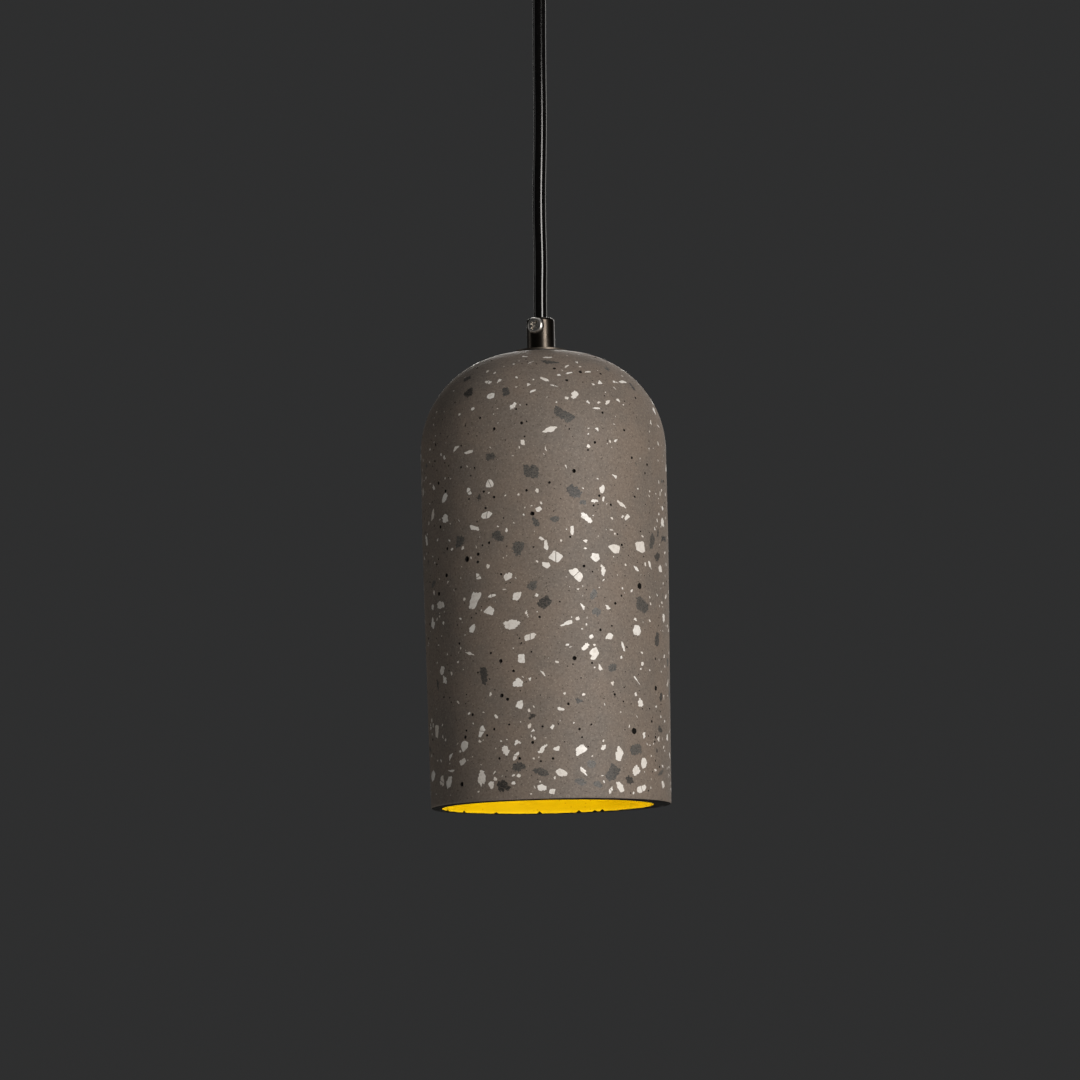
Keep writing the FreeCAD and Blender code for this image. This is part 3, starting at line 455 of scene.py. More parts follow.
def finishes():
    """One material for each of the record's slots that a CAD node shows."""
    made = {"black_cord": cord_sheath(), "core_green": earth_core(), "opal_globe": glowing_globe()}
    for maker, slot, *settings in (
        (coated, "black_coat", rgb(22, 21, 21), rgb(34, 32, 31), 0.42),
        (plated, "black_nickel", rgb(72, 66, 60), 0.29, 1.0),
        (plated, "satin_nickel", rgb(116, 107, 98), 0.46, 1.0),
        (plated, "nickel_screw", rgb(236, 232, 226), 0.30),
        (plated, "zinc_steel", rgb(176, 178, 180), 0.34),
        (plated, "brass", rgb(205, 166, 92), 0.27),
        (plated, "tinned_copper", rgb(205, 200, 190), 0.36),
        (plated, "nickel_cap", rgb(214, 208, 198), 0.24, 0.6),
        (moulded, "core_brown", rgb(92, 54, 30), 0.38),
        (moulded, "core_blue", rgb(34, 84, 168), 0.38),
        (moulded, "black_rubber", rgb(20, 20, 20), 0.72),
        (moulded, "black_phenolic", rgb(26, 24, 23), 0.30, 0.8),
        (moulded, "white_plastic", rgb(232, 230, 224), 0.36, 0.6, 0.1),
        (moulded, "ceramic", rgb(232, 226, 212), 0.22, 1.4, 0.05),
        (moulded, "black_glass", rgb(12, 12, 14), 0.08, 2.5),
        (circuit_board, "board_white", rgb(228, 228, 224), rgb(204, 206, 206)),
        (circuit_board, "board_green", rgb(22, 84, 50), rgb(60, 124, 74)),
        (moulded, "led_yellow", rgb(236, 204, 66), 0.4, 0.3, 0.2),
    ):
        made[slot] = maker(slot, *settings)
    return made


# ---- mesh tools


def new_piece(name, points, faces, body, material):
    """A smooth mesh in the frame's own place, riding on a body."""
    mesh = bpy.data.meshes.new(name)
    mesh.from_pydata(points, [], faces)
    mesh.materials.append(material)
    mesh.polygons.foreach_set("use_smooth", [True] * len(mesh.polygons))
    piece = in_scene(name, mesh)
    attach(piece, body)
    return piece


class Cells:
    """Things kept by the square cell of a flat grid that holds them, so that near ones are found quickly."""

    def __init__(self, size):
        self.size = size
        self.kept = {}

    def cell(self, x, y):
        return math.floor(x / self.size), math.floor(y / self.size)

    def keep(self, x, y, thing):
        self.kept.setdefault(self.cell(x, y), []).append(thing)

    def between(self, low, high):
        """Everything in the cells from one corner's to the other's."""
        left, top = self.cell(*low)
        right, bottom = self.cell(*high)
        for column in range(left, right + 1):
            for row in range(top, bottom + 1):
                yield from self.kept.get((column, row), ())

    def around(self, x, y, across, along):
        """Everything within that reach of a place, and a little more."""
        return self.between((x - across, y - along), (x + across, y + along))


# ---- the shade's shape, in millimetres

CROWN_FLAT = 11.6
SHOULDER = 48.4
SIDE_RADIUS = CROWN_FLAT + SHOULDER
RIM_RADIUS = 58.2
RIM_INNER = 51.2
BELLY_DEPTH = 96.0
HEIGHT = (CROWN - RIM) / MM
ROD_HOLE = 5.3
CROWN_THICK = 14.0
CEILING_RADIUS = 49.5
INNER_SHOULDER = 32.0
PAINT = 0.15
LINING_THICKNESS = PAINT - 0.02
NICK_ODDS = 0.14
BLACK_LAP = 2.0
EDGE_ROUND = 0.7
HOLE_OFF_CENTRE = -1.6
SHOULDER_LENGTH = SHOULDER * math.pi / 2
SIDE_END = SHOULDER_LENGTH + HEIGHT - SHOULDER - EDGE_ROUND
GRID = 1.6
ROUND_STEPS = 2 * round(math.pi * RIM_RADIUS / GRID)
# Steps round the rim's outer edge, then up the hollow's side, over its shoulder and in to the rod's hole
EDGE_STEPS = 4
SIDE_STEPS = 40
TURN_STEPS = 16
TOP_STEPS = 4
SHARP_ANGLE = math.radians(40)
CHIP_SEED = 7
NICK_SEED = 3


def outer_profile(down):
    """Radius and height of the outside, a distance down it from the edge of the crown's flat."""
    if down <= 0:
        return CROWN_FLAT + down, 0.0
    if down < SHOULDER_LENGTH:
        angle = down / SHOULDER
        return CROWN_FLAT + SHOULDER * math.sin(angle), SHOULDER * (math.cos(angle) - 1)
    height = SHOULDER_LENGTH - SHOULDER - down
    taper = max(0.0, (-height - BELLY_DEPTH) / (HEIGHT - BELLY_DEPTH))
    return SIDE_RADIUS - taper * (SIDE_RADIUS - RIM_RADIUS), height


def on_wall(azimuth, radius, height, aside=0.0):
    """A point in the frame. Azimuth is in radians, 0 towards -Y, and positive towards +X."""
    x = AXIS + (radius * math.sin(azimuth) + aside) * MM
    return Vector((x, -radius * math.cos(azimuth) * MM, CROWN + height * MM))


def outward(azimuth, down):
    """The outside's normal there."""
    tilt = math.pi / 2 - min(max(down, 0.0) / SHOULDER, math.pi / 2)
    return Vector((math.sin(azimuth) * math.cos(tilt), -math.cos(azimuth) * math.cos(tilt), math.sin(tilt)))


# ---- terrazzo: what lies in the cement

MATRIX, WHITE, CHARCOAL, PIT, BLACK = range(5)

# The large white chips on the side that faces the camera: azimuth in degrees, distance down the outside from
# the crown's flat, length and width in millimetres, and the turn of the length from the horizontal in degrees
LARGE_WHITE_CHIPS = [
    (-13, 25.5, 3.4, 1.8, -25), (4.5, 27.5, 5, 1.8, 0), (-7, 32.5, 4.6, 0.9, 45),
    (15.5, 36.5, 3.8, 1.1, 40), (15.5, 42, 4, 1.3, 25), (27.5, 40.5, 4.2, 1.2, 15),
    (-30.5, 46, 4.6, 2, -20), (-23.5, 46, 3.2, 2.2, 90), (1.5, 46.5, 5, 1.7, -30),
    (6.3, 50.6, 4.8, 0.9, -22), (32, 47.3, 3.2, 2.6, 10), (44, 46, 4.2, 1.6, -5), (51, 45, 7.4, 2.3, 5),
    (-4.8, 53.4, 3.8, 1.6, 25), (-26.5, 54.8, 4.2, 3.6, 0), (16, 56, 4.8, 3.2, 60),
    (-14, 61.5, 4.2, 2.6, 50), (33.3, 59.2, 4.6, 2.2, 30), (26.2, 62.8, 4.2, 1, 2),
    (40.5, 57.8, 2.8, 1.8, -50), (3, 73.8, 8.6, 3, 12), (-9.3, 79.8, 3.4, 2.4, -60),
    (-44.5, 79.8, 6, 3, 10), (-36.8, 82.2, 5.6, 1.6, 8), (25.5, 73.2, 2.6, 1.9, -30),
    (35.4, 78.2, 2.8, 1.5, 25), (-36.8, 101.2, 4.2, 2.8, -45), (-25.7, 98.3, 4.4, 4, 0),
    (-53.3, 102.5, 5.6, 3.4, 40), (-53.2, 112.3, 5.4, 4.2, 0), (-27.5, 113.5, 6.6, 3.4, 12),
    (-34.2, 119, 6.2, 2.4, -20), (27.3, 102, 4.4, 3, 80), (23.5, 108, 4.2, 2, -5),
    (19.2, 116.2, 6.8, 3.4, -40), (34, 95.2, 3.6, 1.6, -35), (37.8, 109, 6.8, 2, -33),
    (40.8, 115.2, 3.6, 2.2, 50), (12.3, 122.3, 4.6, 1.8, 88), (-2.7, 112, 2.9, 2.4, 20),
    (-1.6, 126.3, 3.2, 1.8, -30), (0.4, 129.2, 5.2, 2.4, 82), (4.5, 134.9, 7.6, 6.4, 10),
    (0, 138.8, 4.2, 3, -15), (13.9, 143.2, 8.4, 4.1, -46), (23, 135.2, 4.8, 4.4, 0),
    (27, 141.2, 6, 2.4, -82), (32.8, 130.6, 7.2, 4.6, -5), (49.3, 128.8, 6.8, 5.6, 10),
    (56.5, 136.8, 5.2, 1.9, -65), (46.2, 139.3, 5, 1.8, -25), (-33, 142.6, 4.2, 2.6, -60),
    (-17.8, 143.6, 4.8, 4, 60), (-13.8, 152.8, 5.4, 3.6, 45), (-35.2, 153.8, 9.8, 5.6, 66),
    (-26, 152.2, 4.6, 1.7, 10), (-27.5, 159.8, 6, 4.8, 30), (-59, 153.4, 7.2, 3.6, 0),
    (16.7, 158.4, 3.8, 1.8, -60), (28.8, 158.8, 3.6, 1.9, -40), (-9.2, 161.8, 4, 1.9, -65),
    (-37, 167, 5, 3.6, 45), (-16.5, 166.4, 9, 4.6, 2), (8.6, 166.8, 6.4, 1.9, 20), (46, 168.8, 6, 5.2, 0),
    (-8, 172.6, 6.2, 3.4, 25), (-39, 178.8, 6.2, 1.6, -8), (-12.2, 182.7, 4.4, 4, 80),
    (17.6, 177.8, 4, 2.4, 40), (21.6, 181.2, 5.4, 5, 30), (29.6, 172.6, 4.8, 3.4, 25),
    (37.2, 177, 5.6, 1.5, -70), (24.4, 187.4, 4.6, 2, -65), (-2.5, 190.2, 4.2, 1.2, -55),
    (45.8, 193.3, 6.4, 1, -45), (-14.3, 194, 5, 4.4, 0), (-13.6, 204.8, 4.8, 4, 30),
    (47.8, 203.4, 4.2, 3.6, 90), (5.5, 207.2, 3.6, 1.6, -10), (-33, 216.2, 6, 3.4, 75),
    (-15.2, 222.2, 3.8, 2.6, 15), (-44, 222.2, 5.8, 4.6, 40), (-21.3, 226, 4.8, 3.6, -50),
    (-16.2, 228.8, 5.2, 2.2, 55), (-3.3, 225.8, 6.2, 2.2, 55), (3, 226, 3.4, 2.4, 15),
    (14, 227.2, 6.6, 4.8, 45), (25.6, 225.2, 3.6, 2.5, 40), (34.2, 228.2, 7.6, 5, 88),
    (44.5, 235.8, 6, 5.8, 0), (49.8, 232.4, 5.6, 4.2, 80), (50, 218.8, 3.8, 2.8, 60),
    (5, 237.3, 6, 3.8, -10), (15.5, 236.8, 5.6, 2.6, -65), (-34, 238.8, 8.4, 5, 85),
    (-29, 242, 3.8, 3.2, 90), (-4.3, 244.2, 4.8, 3.4, -10), (0.5, 246.2, 3.2, 2.6, 0),
    (34.2, 243.8, 6.2, 3.4, -50), (47.9, 244.6, 7, 3.2, 15), (29, 245.6, 4.2, 2, 60), (-45.5, 230, 5, 4, 0),
    (-54.6, 233.6, 6.4, 1.6, -5), (-56, 238.8, 7, 4.6, 45), (-53.8, 226.8, 4.8, 2.6, 25),
    (-57.2, 190, 4.6, 4, -30), (-59.3, 184.8, 5.2, 4.2, 40),
]
# The dark chips there, in the same terms, and how close each comes to the cement's own tone, from 0 to 1
LARGE_DARK_CHIPS = [
    (5.5, 33, 9.5, 3.4, -8, 0.35), (-41.5, 51, 6.5, 5.6, 0, 0), (-49, 41, 5, 4, -20, 0.1),
    (57.8, 47, 5, 2.6, 85, 0), (-18.4, 53, 5.5, 3.8, 85, 0.4), (10, 67, 11.5, 6.4, -25, 0.5),
    (45.5, 36, 5, 3, 70, 0.5), (-25, 85.5, 5.5, 3.4, 10, 0.6), (-6, 93.6, 9, 6.2, -20, 0.65),
    (13.5, 103.6, 8, 5.2, -25, 0), (-31.2, 104.5, 4, 2.2, 85, 0.2), (-4.6, 118, 5.6, 3, -50, 0.7),
    (4.6, 117, 5, 3.2, 0, 0.8), (-22, 124, 6.4, 5, -40, 0.6), (-43.5, 124, 7.2, 6, 20, 0.6),
    (-1.2, 156.8, 7.2, 6.4, 10, 0.05), (50, 156.6, 10, 6.6, -20, 0.7), (-31.3, 190, 9.6, 4.2, 88, 0.35),
    (-8, 210.3, 4, 2.6, 30, 0), (13.8, 203.5, 3.8, 2.6, 0, 0), (-15, 234, 7, 4.8, 0, 0.55),
    (-5, 236.6, 8.6, 3.8, -15, 0.55), (30, 237.5, 8.4, 6.2, 55, 0.4), (39.8, 240.3, 5, 4.8, 0, 0.15),
    (-22.3, 242.6, 7, 6, 10, 0), (14, 241.8, 6.6, 3.6, -20, 0.5), (59, 125, 8, 5, 85, 0.65),
    (44, 226, 8, 5, 10, 0.85), (22, 153, 5, 4, 50, 0.8), (-12.7, 129.7, 8, 6.4, 50, 0.75),
    (23.4, 161, 5.4, 4.6, 30, 0.7), (-6.4, 148.4, 6, 4.4, 30, 0.85), (31, 187.4, 5.2, 4.6, 50, 0.7),
    (19.5, 233.4, 4.6, 3.8, 20, 0.7), (22.4, 243, 5, 3.8, 0, 0.6), (17.6, 109, 3.6, 2.4, 10, 0.5),
    (62.5, 172, 7, 4.6, 80, 0.5), (66, 199.5, 5, 3.6, 80, 0.2),
]
# The larger air pits there: azimuth, distance down and width
LARGE_PITS = [
    (13.8, 93.8, 1.9), (-5.7, 114, 2.1), (-28, 110, 1.3), (-28.8, 102, 1.3), (-52.3, 99.2, 1.6),
    (-26.6, 126.8, 1.4), (-32.6, 131.7, 1.7), (-39, 133.5, 2.8), (-21, 142.2, 1.2), (-41.4, 89, 1.2),
    (17.5, 139.4, 1.5), (48.3, 147.5, 3), (43.2, 217.2, 3), (-22.3, 183.5, 1.9), (-22.2, 199.9, 1.9),
    (-19.5, 201.8, 1.6), (12.2, 183.2, 2.1), (60.5, 195.7, 2.4), (-58, 94.5, 1.6), (-53, 139.8, 2),
    (-43.2, 218.3, 1.6), (-38.3, 207.9, 1.4), (-46.5, 240.5, 2.2), (-24.3, 229.6, 1.3), (-57, 116, 1.6),
    (-60, 148, 2), (31.7, 109.5, 1.2), (25.8, 105.4, 1.3), (22.8, 40.8, 1.9), (13.3, 47, 1.5),
    (-22.9, 72.2, 1.5), (7.6, 38.6, 1.6), (32, 200.2, 1.3), (-7.5, 61, 1), (56, 88, 1.4), (1.2, 230.6, 1.3),
    (-4.4, 231.7, 1.1),
]
# How many small ones are tried, and the chips' usual length, greatest length and spread of lengths
WHITE_TRIES = 2300
WHITE_LENGTHS = (1.9, 9.0, 0.66)
DARK_TRIES = 210
DARK_LENGTHS = (4.6, 9.5, 0.4)
PIT_TRIES = 900
PIT_WIDTHS = (0.5, 0.55, 0.6, 0.7, 0.8, 1.0, 1.3)
# How thickly the scattered chips lie, from 0 to 1, at distances down the outside
CROWDING = [
    (0, 0.55), (30, 0.7), (60, 0.5), (105, 0.55), (125, 0.85),
    (165, 0.8), (185, 0.45), (212, 0.45), (224, 1.0), (250, 1.0),
]
SMALL_GAP = 0.35
FRONT = math.radians(62)
LARGE_LENGTH = 2.6
CRACK_ODDS = 0.14
CRACK_LENGTH = 3.5
CRACK_HALF_WIDTH = 0.16
DEEPEST_PIT = 2.2
PIT_BOTTOM = 0.62
# How far the plain points keep from an outline and from a pit's edge
OUTLINE_CLEARANCE = 0.45
PIT_CLEARANCE = 0.2
# The cells that inclusions, clearances and faces are found by
INCLUSION_CELL = 12.0
CLEARANCE_CELL = 4.0
FACE_CELL = 3.0


class Inclusions:
    """The chips and pits found so far, each a capsule, so that no two meet."""

    def __init__(self):
        self.cells = Cells(INCLUSION_CELL)

    def clear(self, azimuth, down, length, width, turn):
        """True if a capsule of that size has room there."""
        radius = outer_profile(down)[0]
        mine = capsule(length, width, turn)
        near = self.cells.around(azimuth * SIDE_RADIUS, down, 2 * INCLUSION_CELL, INCLUSION_CELL)
        for other_azimuth, other_down, other in near:
            shift = ((azimuth - other_azimuth) * radius, down - other_down)
            if capsule_gap(mine, other, shift) < SMALL_GAP:
                return False
        return True

    def add(self, azimuth, down, length, width, turn):
        self.cells.keep(azimuth * SIDE_RADIUS, down, (azimuth, down, capsule(length, width, turn)))


def capsule(length, width, turn):
    """Points along a chip's middle line, and the radius round them that it fills."""
    half = max(length - width, 0) / 2
    steps = 2 if half else 0
    reaches = [half * step / max(steps, 1) for step in range(-steps, steps + 1)]
    return [(reach * math.cos(turn), -reach * math.sin(turn)) for reach in reaches], width / 2


def capsule_gap(mine, other, shift):
    """The distance between two capsules, the first moved by shift. It is negative where they meet."""
    line, reach = mine
    other_line, other_reach = other
    nearest = min(math.hypot(x + shift[0] - u, y + shift[1] - v) for x, y in line for u, v in other_line)
    return nearest - reach - other_reach


def stretched(values, size):
    """The values moved and scaled to span that size round zero."""
    low, high = min(values), max(values)
    return [(value - (low + high) / 2) * size / (high - low) for value in values]


def chip_outline(draw, length, width, turn, kind):
    """An angular outline of that length and width, as (across, down) in millimetres round its middle.

    Its sides wander a little, its corners are just rounded, and some chips have a bite out of one side. The
    dark stone is softer than the marble, so its chips have more corners and rougher sides.
    """
    large = width > 3.0
    if kind == CHARCOAL:
        counts, uneven = (6, 7, 8, 9), (0.6, 1.2)
    elif large:
        counts, uneven = (4, 5, 5, 6), (0.8, 1.1)
    else:
        counts, uneven = (3, 4, 4, 5, 5), (0.72, 1.1)
    count = draw.choice(counts)
    start = draw.uniform(0, 2 * math.pi)
    corners = []
    for k in range(count):
        angle = start + 2 * math.pi * (k + draw.uniform(-0.3, 0.3)) / count
        reach = draw.uniform(*uneven)
        corners.append((reach * math.cos(angle), reach * math.sin(angle)))
    across, along = zip(*corners)
    corners = list(zip(stretched(across, length), stretched(along, width)))
    ragged = draw.choice((0.6, 1.0, 1.0, 1.9)) if kind == WHITE else draw.uniform(2.0, 3.2)
    points = []
    for (x0, y0), (x1, y1) in zip(corners, corners[1:] + corners[:1]):
        side = max(math.hypot(x1 - x0, y1 - y0), 1e-6)
        parts = max(2, min(8, round(side / 0.55)))
        for share in [0.12 + 0.76 * part / (parts - 1) for part in range(parts)]:
            wander = draw.uniform(-1, 1) * ragged * min(0.2, 0.1 * side, 0.09 * width) / side
            x = x0 + (x1 - x0) * share + (y1 - y0) * wander
            points.append((x, y0 + (y1 - y0) * share - (x1 - x0) * wander))
    if length > 2.4 and draw.random() < (0.2 if large else 0.4):
        bite = draw.randrange(len(points))
        for step, pull in ((-1, 0.78), (0, 0.55), (1, 0.8)):
            x, y = points[(bite + step) % len(points)]
            points[(bite + step) % len(points)] = (x * pull, y * pull)
    cosine, sine = math.cos(turn), math.sin(turn)
    return [(x * cosine + y * sine, -x * sine + y * cosine) for x, y in points]


def cut_half(outline, direction, gap):
    """The part of an outline on one side of a line through its middle, gap away from it."""
    nx, ny = direction
    kept = []
    for (x0, y0), (x1, y1) in zip(outline, outline[1:] + outline[:1]):
        first, second = x0 * nx + y0 * ny - gap, x1 * nx + y1 * ny - gap
        if first > 0:
            kept.append((x0, y0))
        if first * second < 0:
            share = first / (first - second)
            kept.append((x0 + (x1 - x0) * share, y0 + (y1 - y0) * share))
    return kept


def pit_outline(draw, width, scale, shift):
    """A round outline, a little uneven."""
    count = max(7, min(14, round(width * 7)))
    start = draw.uniform(0, 1)
    points = []
    for k in range(count):
        angle = 2 * math.pi * (k + start) / count
        reach = width / 2 * scale * draw.uniform(0.88, 1.12)
        points.append((reach * math.cos(angle) + shift[0], reach * math.sin(angle) + shift[1]))
    return points


def crowding(down):
    """How thickly the scattered chips lie that far down, from 0 to 1."""
    for (top, first), (bottom, second) in zip(CROWDING, CROWDING[1:]):
        if down <= bottom:
            return first + (second - first) * (down - top) / (bottom - top)
    return CROWDING[-1][1]


class Terrazzo:
    """The outlines in the wall and what fills them, laid out flat.

    A place there is the azimuth times SIDE_RADIUS, and the distance down the outside.
    """

    def __init__(self):
        self.draw = random.Random(CHIP_SEED)
        self.taken = Inclusions()
        self.loops = []
        self.regions = []

    def loop(self, azimuth, down, outline, depth, kind, tone):
        """Adds one closed outline. depth says how far its points lie under the surface, in millimetres."""
        points = []
        for across, along in outline:
            radius = outer_profile(down + along)[0]
            points.append(((azimuth + across / radius) * SIDE_RADIUS, down + along))
        self.loops.append((points, depth))
        self.regions.append((kind, tone))

    def fits(self, azimuth, down, length):
        """True if one of that length stays clear of the seam behind, the crown's flat and the rim."""
        edge = (math.pi - abs(azimuth)) * outer_profile(down)[0]
        return edge > length / 2 + 0.6 and down > length / 2 and down < SIDE_END - length / 2 - 0.5

    def chip(self, azimuth, down, length, width, turn, kind, tone):
        """Adds one chip. A few of the longer white ones are cracked across."""
        draw = self.draw
        outline = chip_outline(draw, length, width, turn, kind)
        halves = [outline]
        if kind == WHITE and length > CRACK_LENGTH and draw.random() < CRACK_ODDS:
            angle = turn + draw.uniform(-0.5, 0.5)
            x, y = math.cos(angle), -math.sin(angle)
            halves = [cut_half(outline, side, CRACK_HALF_WIDTH) for side in ((x, y), (-x, -y))]
        for half in halves:
            if len(half) > 3:
                self.loop(azimuth, down, half, 0.0, kind, tone)
        self.taken.add(azimuth, down, length, width, turn)

    def pit(self, azimuth, down, width):
        """Adds one air pit: its edge, and a smaller ring at its bottom, a little to one side."""
        draw = self.draw
        lean = (draw.uniform(-0.12, 0.12) * width, draw.uniform(-0.12, 0.12) * width)
        depth = min(DEEPEST_PIT, width * draw.uniform(0.5, 0.8))
        self.loop(azimuth, down, pit_outline(draw, width, 1.0, (0, 0)), 0.0, PIT, 0.0)
        self.loop(azimuth, down, pit_outline(draw, width, PIT_BOTTOM, lean), depth, PIT, 0.0)
        self.taken.add(azimuth, down, width, width, 0.0)

    def place_the_large_ones(self):
        for azimuth, down, length, width, turn in LARGE_WHITE_CHIPS:
            tone = self.draw.random() * 0.6
            self.chip(math.radians(azimuth), down, length, width, math.radians(turn), WHITE, tone)
        for azimuth, down, length, width, turn, tone in LARGE_DARK_CHIPS:
            self.chip(math.radians(azimuth), down, length, width, math.radians(turn), CHARCOAL, tone)
        for azimuth, down, width in LARGE_PITS:
            self.pit(math.radians(azimuth), down, width)

    def random_place(self):
        """An azimuth and a distance down, as likely in one part of the outside as in any other."""
        draw = self.draw
        while True:
            down = draw.uniform(2, SIDE_END - 1)
            if draw.random() < outer_profile(down)[0] / SIDE_RADIUS:
                return draw.uniform(-math.pi, math.pi), down

    def scatter_chips(self, tries, kind, sizes):
        """Chips in random places, the large ones first. No large one joins those listed in front."""
        draw = self.draw
        usual, greatest, spread = sizes
        lengths = [min(greatest, draw.lognormvariate(math.log(usual), spread)) for _ in range(tries)]
        for length in sorted(lengths, reverse=True):
            azimuth, down = self.random_place()
            if (abs(azimuth) < FRONT and length > LARGE_LENGTH) or draw.random() > crowding(down):
                continue
            sliver = draw.random() < 0.2
            width = length * (draw.uniform(0.2, 0.35) if sliver else draw.uniform(0.45, 0.95))
            turn = draw.uniform(0, math.pi)
            tone = draw.random()
            if self.fits(azimuth, down, length) and self.taken.clear(azimuth, down, length, width, turn):
                self.chip(azimuth, down, length, width, turn, kind, tone)

    def scatter_pits(self, tries):
        """Small pits in random places, and a few wider ones."""
        draw = self.draw
        for _ in range(tries):
            azimuth, down = self.random_place()
            width = draw.choice(PIT_WIDTHS) * draw.uniform(0.85, 1.15)
            if draw.random() < 0.04:
                width *= 1.9
            if self.fits(azimuth, down, width) and self.taken.clear(azimuth, down, width, width, 0.0):
                self.pit(azimuth, down, width)


def flat_grid():
    """Plain points over the wall, in rings about GRID apart, with matching ends at the seam behind.

    Each is its place across and down, and whether it has to stay.
    """
    span = 2 * math.pi * SIDE_RADIUS
    top = ROD_HOLE - CROWN_FLAT
    rings = round((SIDE_END - top) / GRID)
    points = []
    for ring in range(rings + 1):
        down = top + (SIDE_END - top) * ring / rings
        end_ring = ring in (0, rings)
        count = ROUND_STEPS if end_ring else max(24, round(2 * math.pi * outer_profile(down)[0] / GRID))
        offset = 0.0 if end_ring or ring % 2 else 0.5
        places = {-span / 2, span / 2}
        places.update(span * ((k + offset) / count - 0.5) for k in range(count))
        for across in sorted(places):
            points.append((across, down, end_ring or abs(abs(across) - span / 2) < 1e-9))
    return points


def clearances(terrazzo):
    """How far the plain points keep from each outline point and each pit's middle, by cell."""
    cells = Cells(CLEARANCE_CELL)
    for (points, depth), (kind, _) in zip(terrazzo.loops, terrazzo.regions):
        for x, y in points:
            cells.keep(x, y, (x, y, OUTLINE_CLEARANCE))
        if kind == PIT and depth == 0:
            x, y = [sum(values) / len(points) for values in zip(*points)]
            wide = max(math.hypot(u - x, v - y) for u, v in points)
            cells.keep(x, y, (x, y, wide + PIT_CLEARANCE))
    return cells


def near_an_outline(across, down, cells):
    """True where a plain point would sit almost on an outline or inside a pit."""
    near = cells.around(across, down, CLEARANCE_CELL, CLEARANCE_CELL)
    return any((across - x) ** 2 + (down - y) ** 2 < reach * reach for x, y, reach in near)


def build_wall(terrazzo):
    """Triangulates the outside with every outline in it. Returns points, faces, kinds and tones."""
    cells = clearances(terrazzo)
    flat, depths = [], []
    for across, down, fixed in flat_grid():
        if fixed or not near_an_outline(across, down, cells):
            flat.append(Vector((across, down)))
            depths.append(0.0)
    edges = []
    for points, depth in terrazzo.loops:
        first = len(flat)
        edges.extend((first + k, first + (k + 1) % len(points)) for k in range(len(points)))
        flat.extend(Vector(point) for point in points)
        depths.extend([depth] * len(points))
    flat_out, _, faces, old_points, _, _ = geometry.delaunay_2d_cdt(flat, edges, [], 0, 1e-6, True)
    points = []
    for place, olds in zip(flat_out, old_points):
        azimuth, down = place.x / SIDE_RADIUS, place.y
        depth = max((depths[old] for old in olds), default=0.0)
        points.append(on_wall(azimuth, *outer_profile(down)) - outward(azimuth, down) * depth * MM)
    kinds, tones = sort_faces(terrazzo, flat_out, faces)
    return points, faces, kinds, tones


def inside(x, y, outline):
    """True if the point is inside a closed outline."""
    odd_crossings = False
    for (x0, y0), (x1, y1) in zip(outline, outline[1:] + outline[:1]):
        if (y0 > y) != (y1 > y) and x < x0 + (x1 - x0) * (y - y0) / (y1 - y0):
            odd_crossings = not odd_crossings
    return odd_crossings


def sort_faces(terrazzo, places, faces):
    """What each triangle is made of, by the outline that holds its middle."""
    cells = Cells(FACE_CELL)
    for number, face in enumerate(faces):
        middle = sum((places[k] for k in face), Vector((0, 0))) / len(face)
        cells.keep(middle.x, middle.y, (number, middle))
    kinds, tones = [MATRIX] * len(faces), [0.0] * len(faces)
    for (outline, _), (kind, tone) in zip(terrazzo.loops, terrazzo.regions):
        across, along = zip(*outline)
        for number, middle in cells.between((min(across), min(along)), (max(across), max(along))):
            if inside(middle.x, middle.y, outline):
                kinds[number], tones[number] = kind, tone
    return kinds, tones


def rim_wear(azimuth):
    """How much of the rim's outer edge has crumbled there, in millimetres."""
    place = Vector((math.sin(azimuth), math.cos(azimuth), 0)) * 9
    fine = noise.noise(place * 3.1)
    broad = noise.noise(place)
    return max(0.0, 0.25 * fine + 0.1) + 1.1 * max(0.0, broad - 0.38)


def hole_shift(height):
    """The hollow is cast a little off centre, from the side's radius down and more so towards the rim."""
    share = min(max((-height - SIDE_RADIUS) / (HEIGHT - SIDE_RADIUS), 0.0), 1.0)
    return HOLE_OFF_CENTRE * share


def inner_profile(extra):
    """Radius and height from the rim's inner edge up to the hole, extra millimetres into the wall."""
    turn_start = -(CROWN_THICK + INNER_SHOULDER)
    flat = CEILING_RADIUS - INNER_SHOULDER
    profile = []
    for k in range(SIDE_STEPS + 1):
        radius = RIM_INNER + (CEILING_RADIUS - RIM_INNER) * k / SIDE_STEPS
        profile.append((radius + extra, -HEIGHT + (turn_start + HEIGHT) * k / SIDE_STEPS))
    for k in range(1, TURN_STEPS + 1):
        angle = math.pi / 2 * k / TURN_STEPS
        radius = flat + INNER_SHOULDER * math.cos(angle)
        height = turn_start + INNER_SHOULDER * math.sin(angle)
        out = extra * (radius - flat) / INNER_SHOULDER
        up = extra * (height - turn_start) / INNER_SHOULDER
        profile.append((radius + out, height + up))
    for k in range(1, TOP_STEPS + 1):
        profile.append((flat + (ROD_HOLE - flat) * k / TOP_STEPS, -CROWN_THICK + extra))
    return profile


def ring_azimuths():
    """The azimuths of the wall's first and last rings, seam first."""
    return [2 * math.pi * (k / ROUND_STEPS - 0.5) for k in range(ROUND_STEPS)]


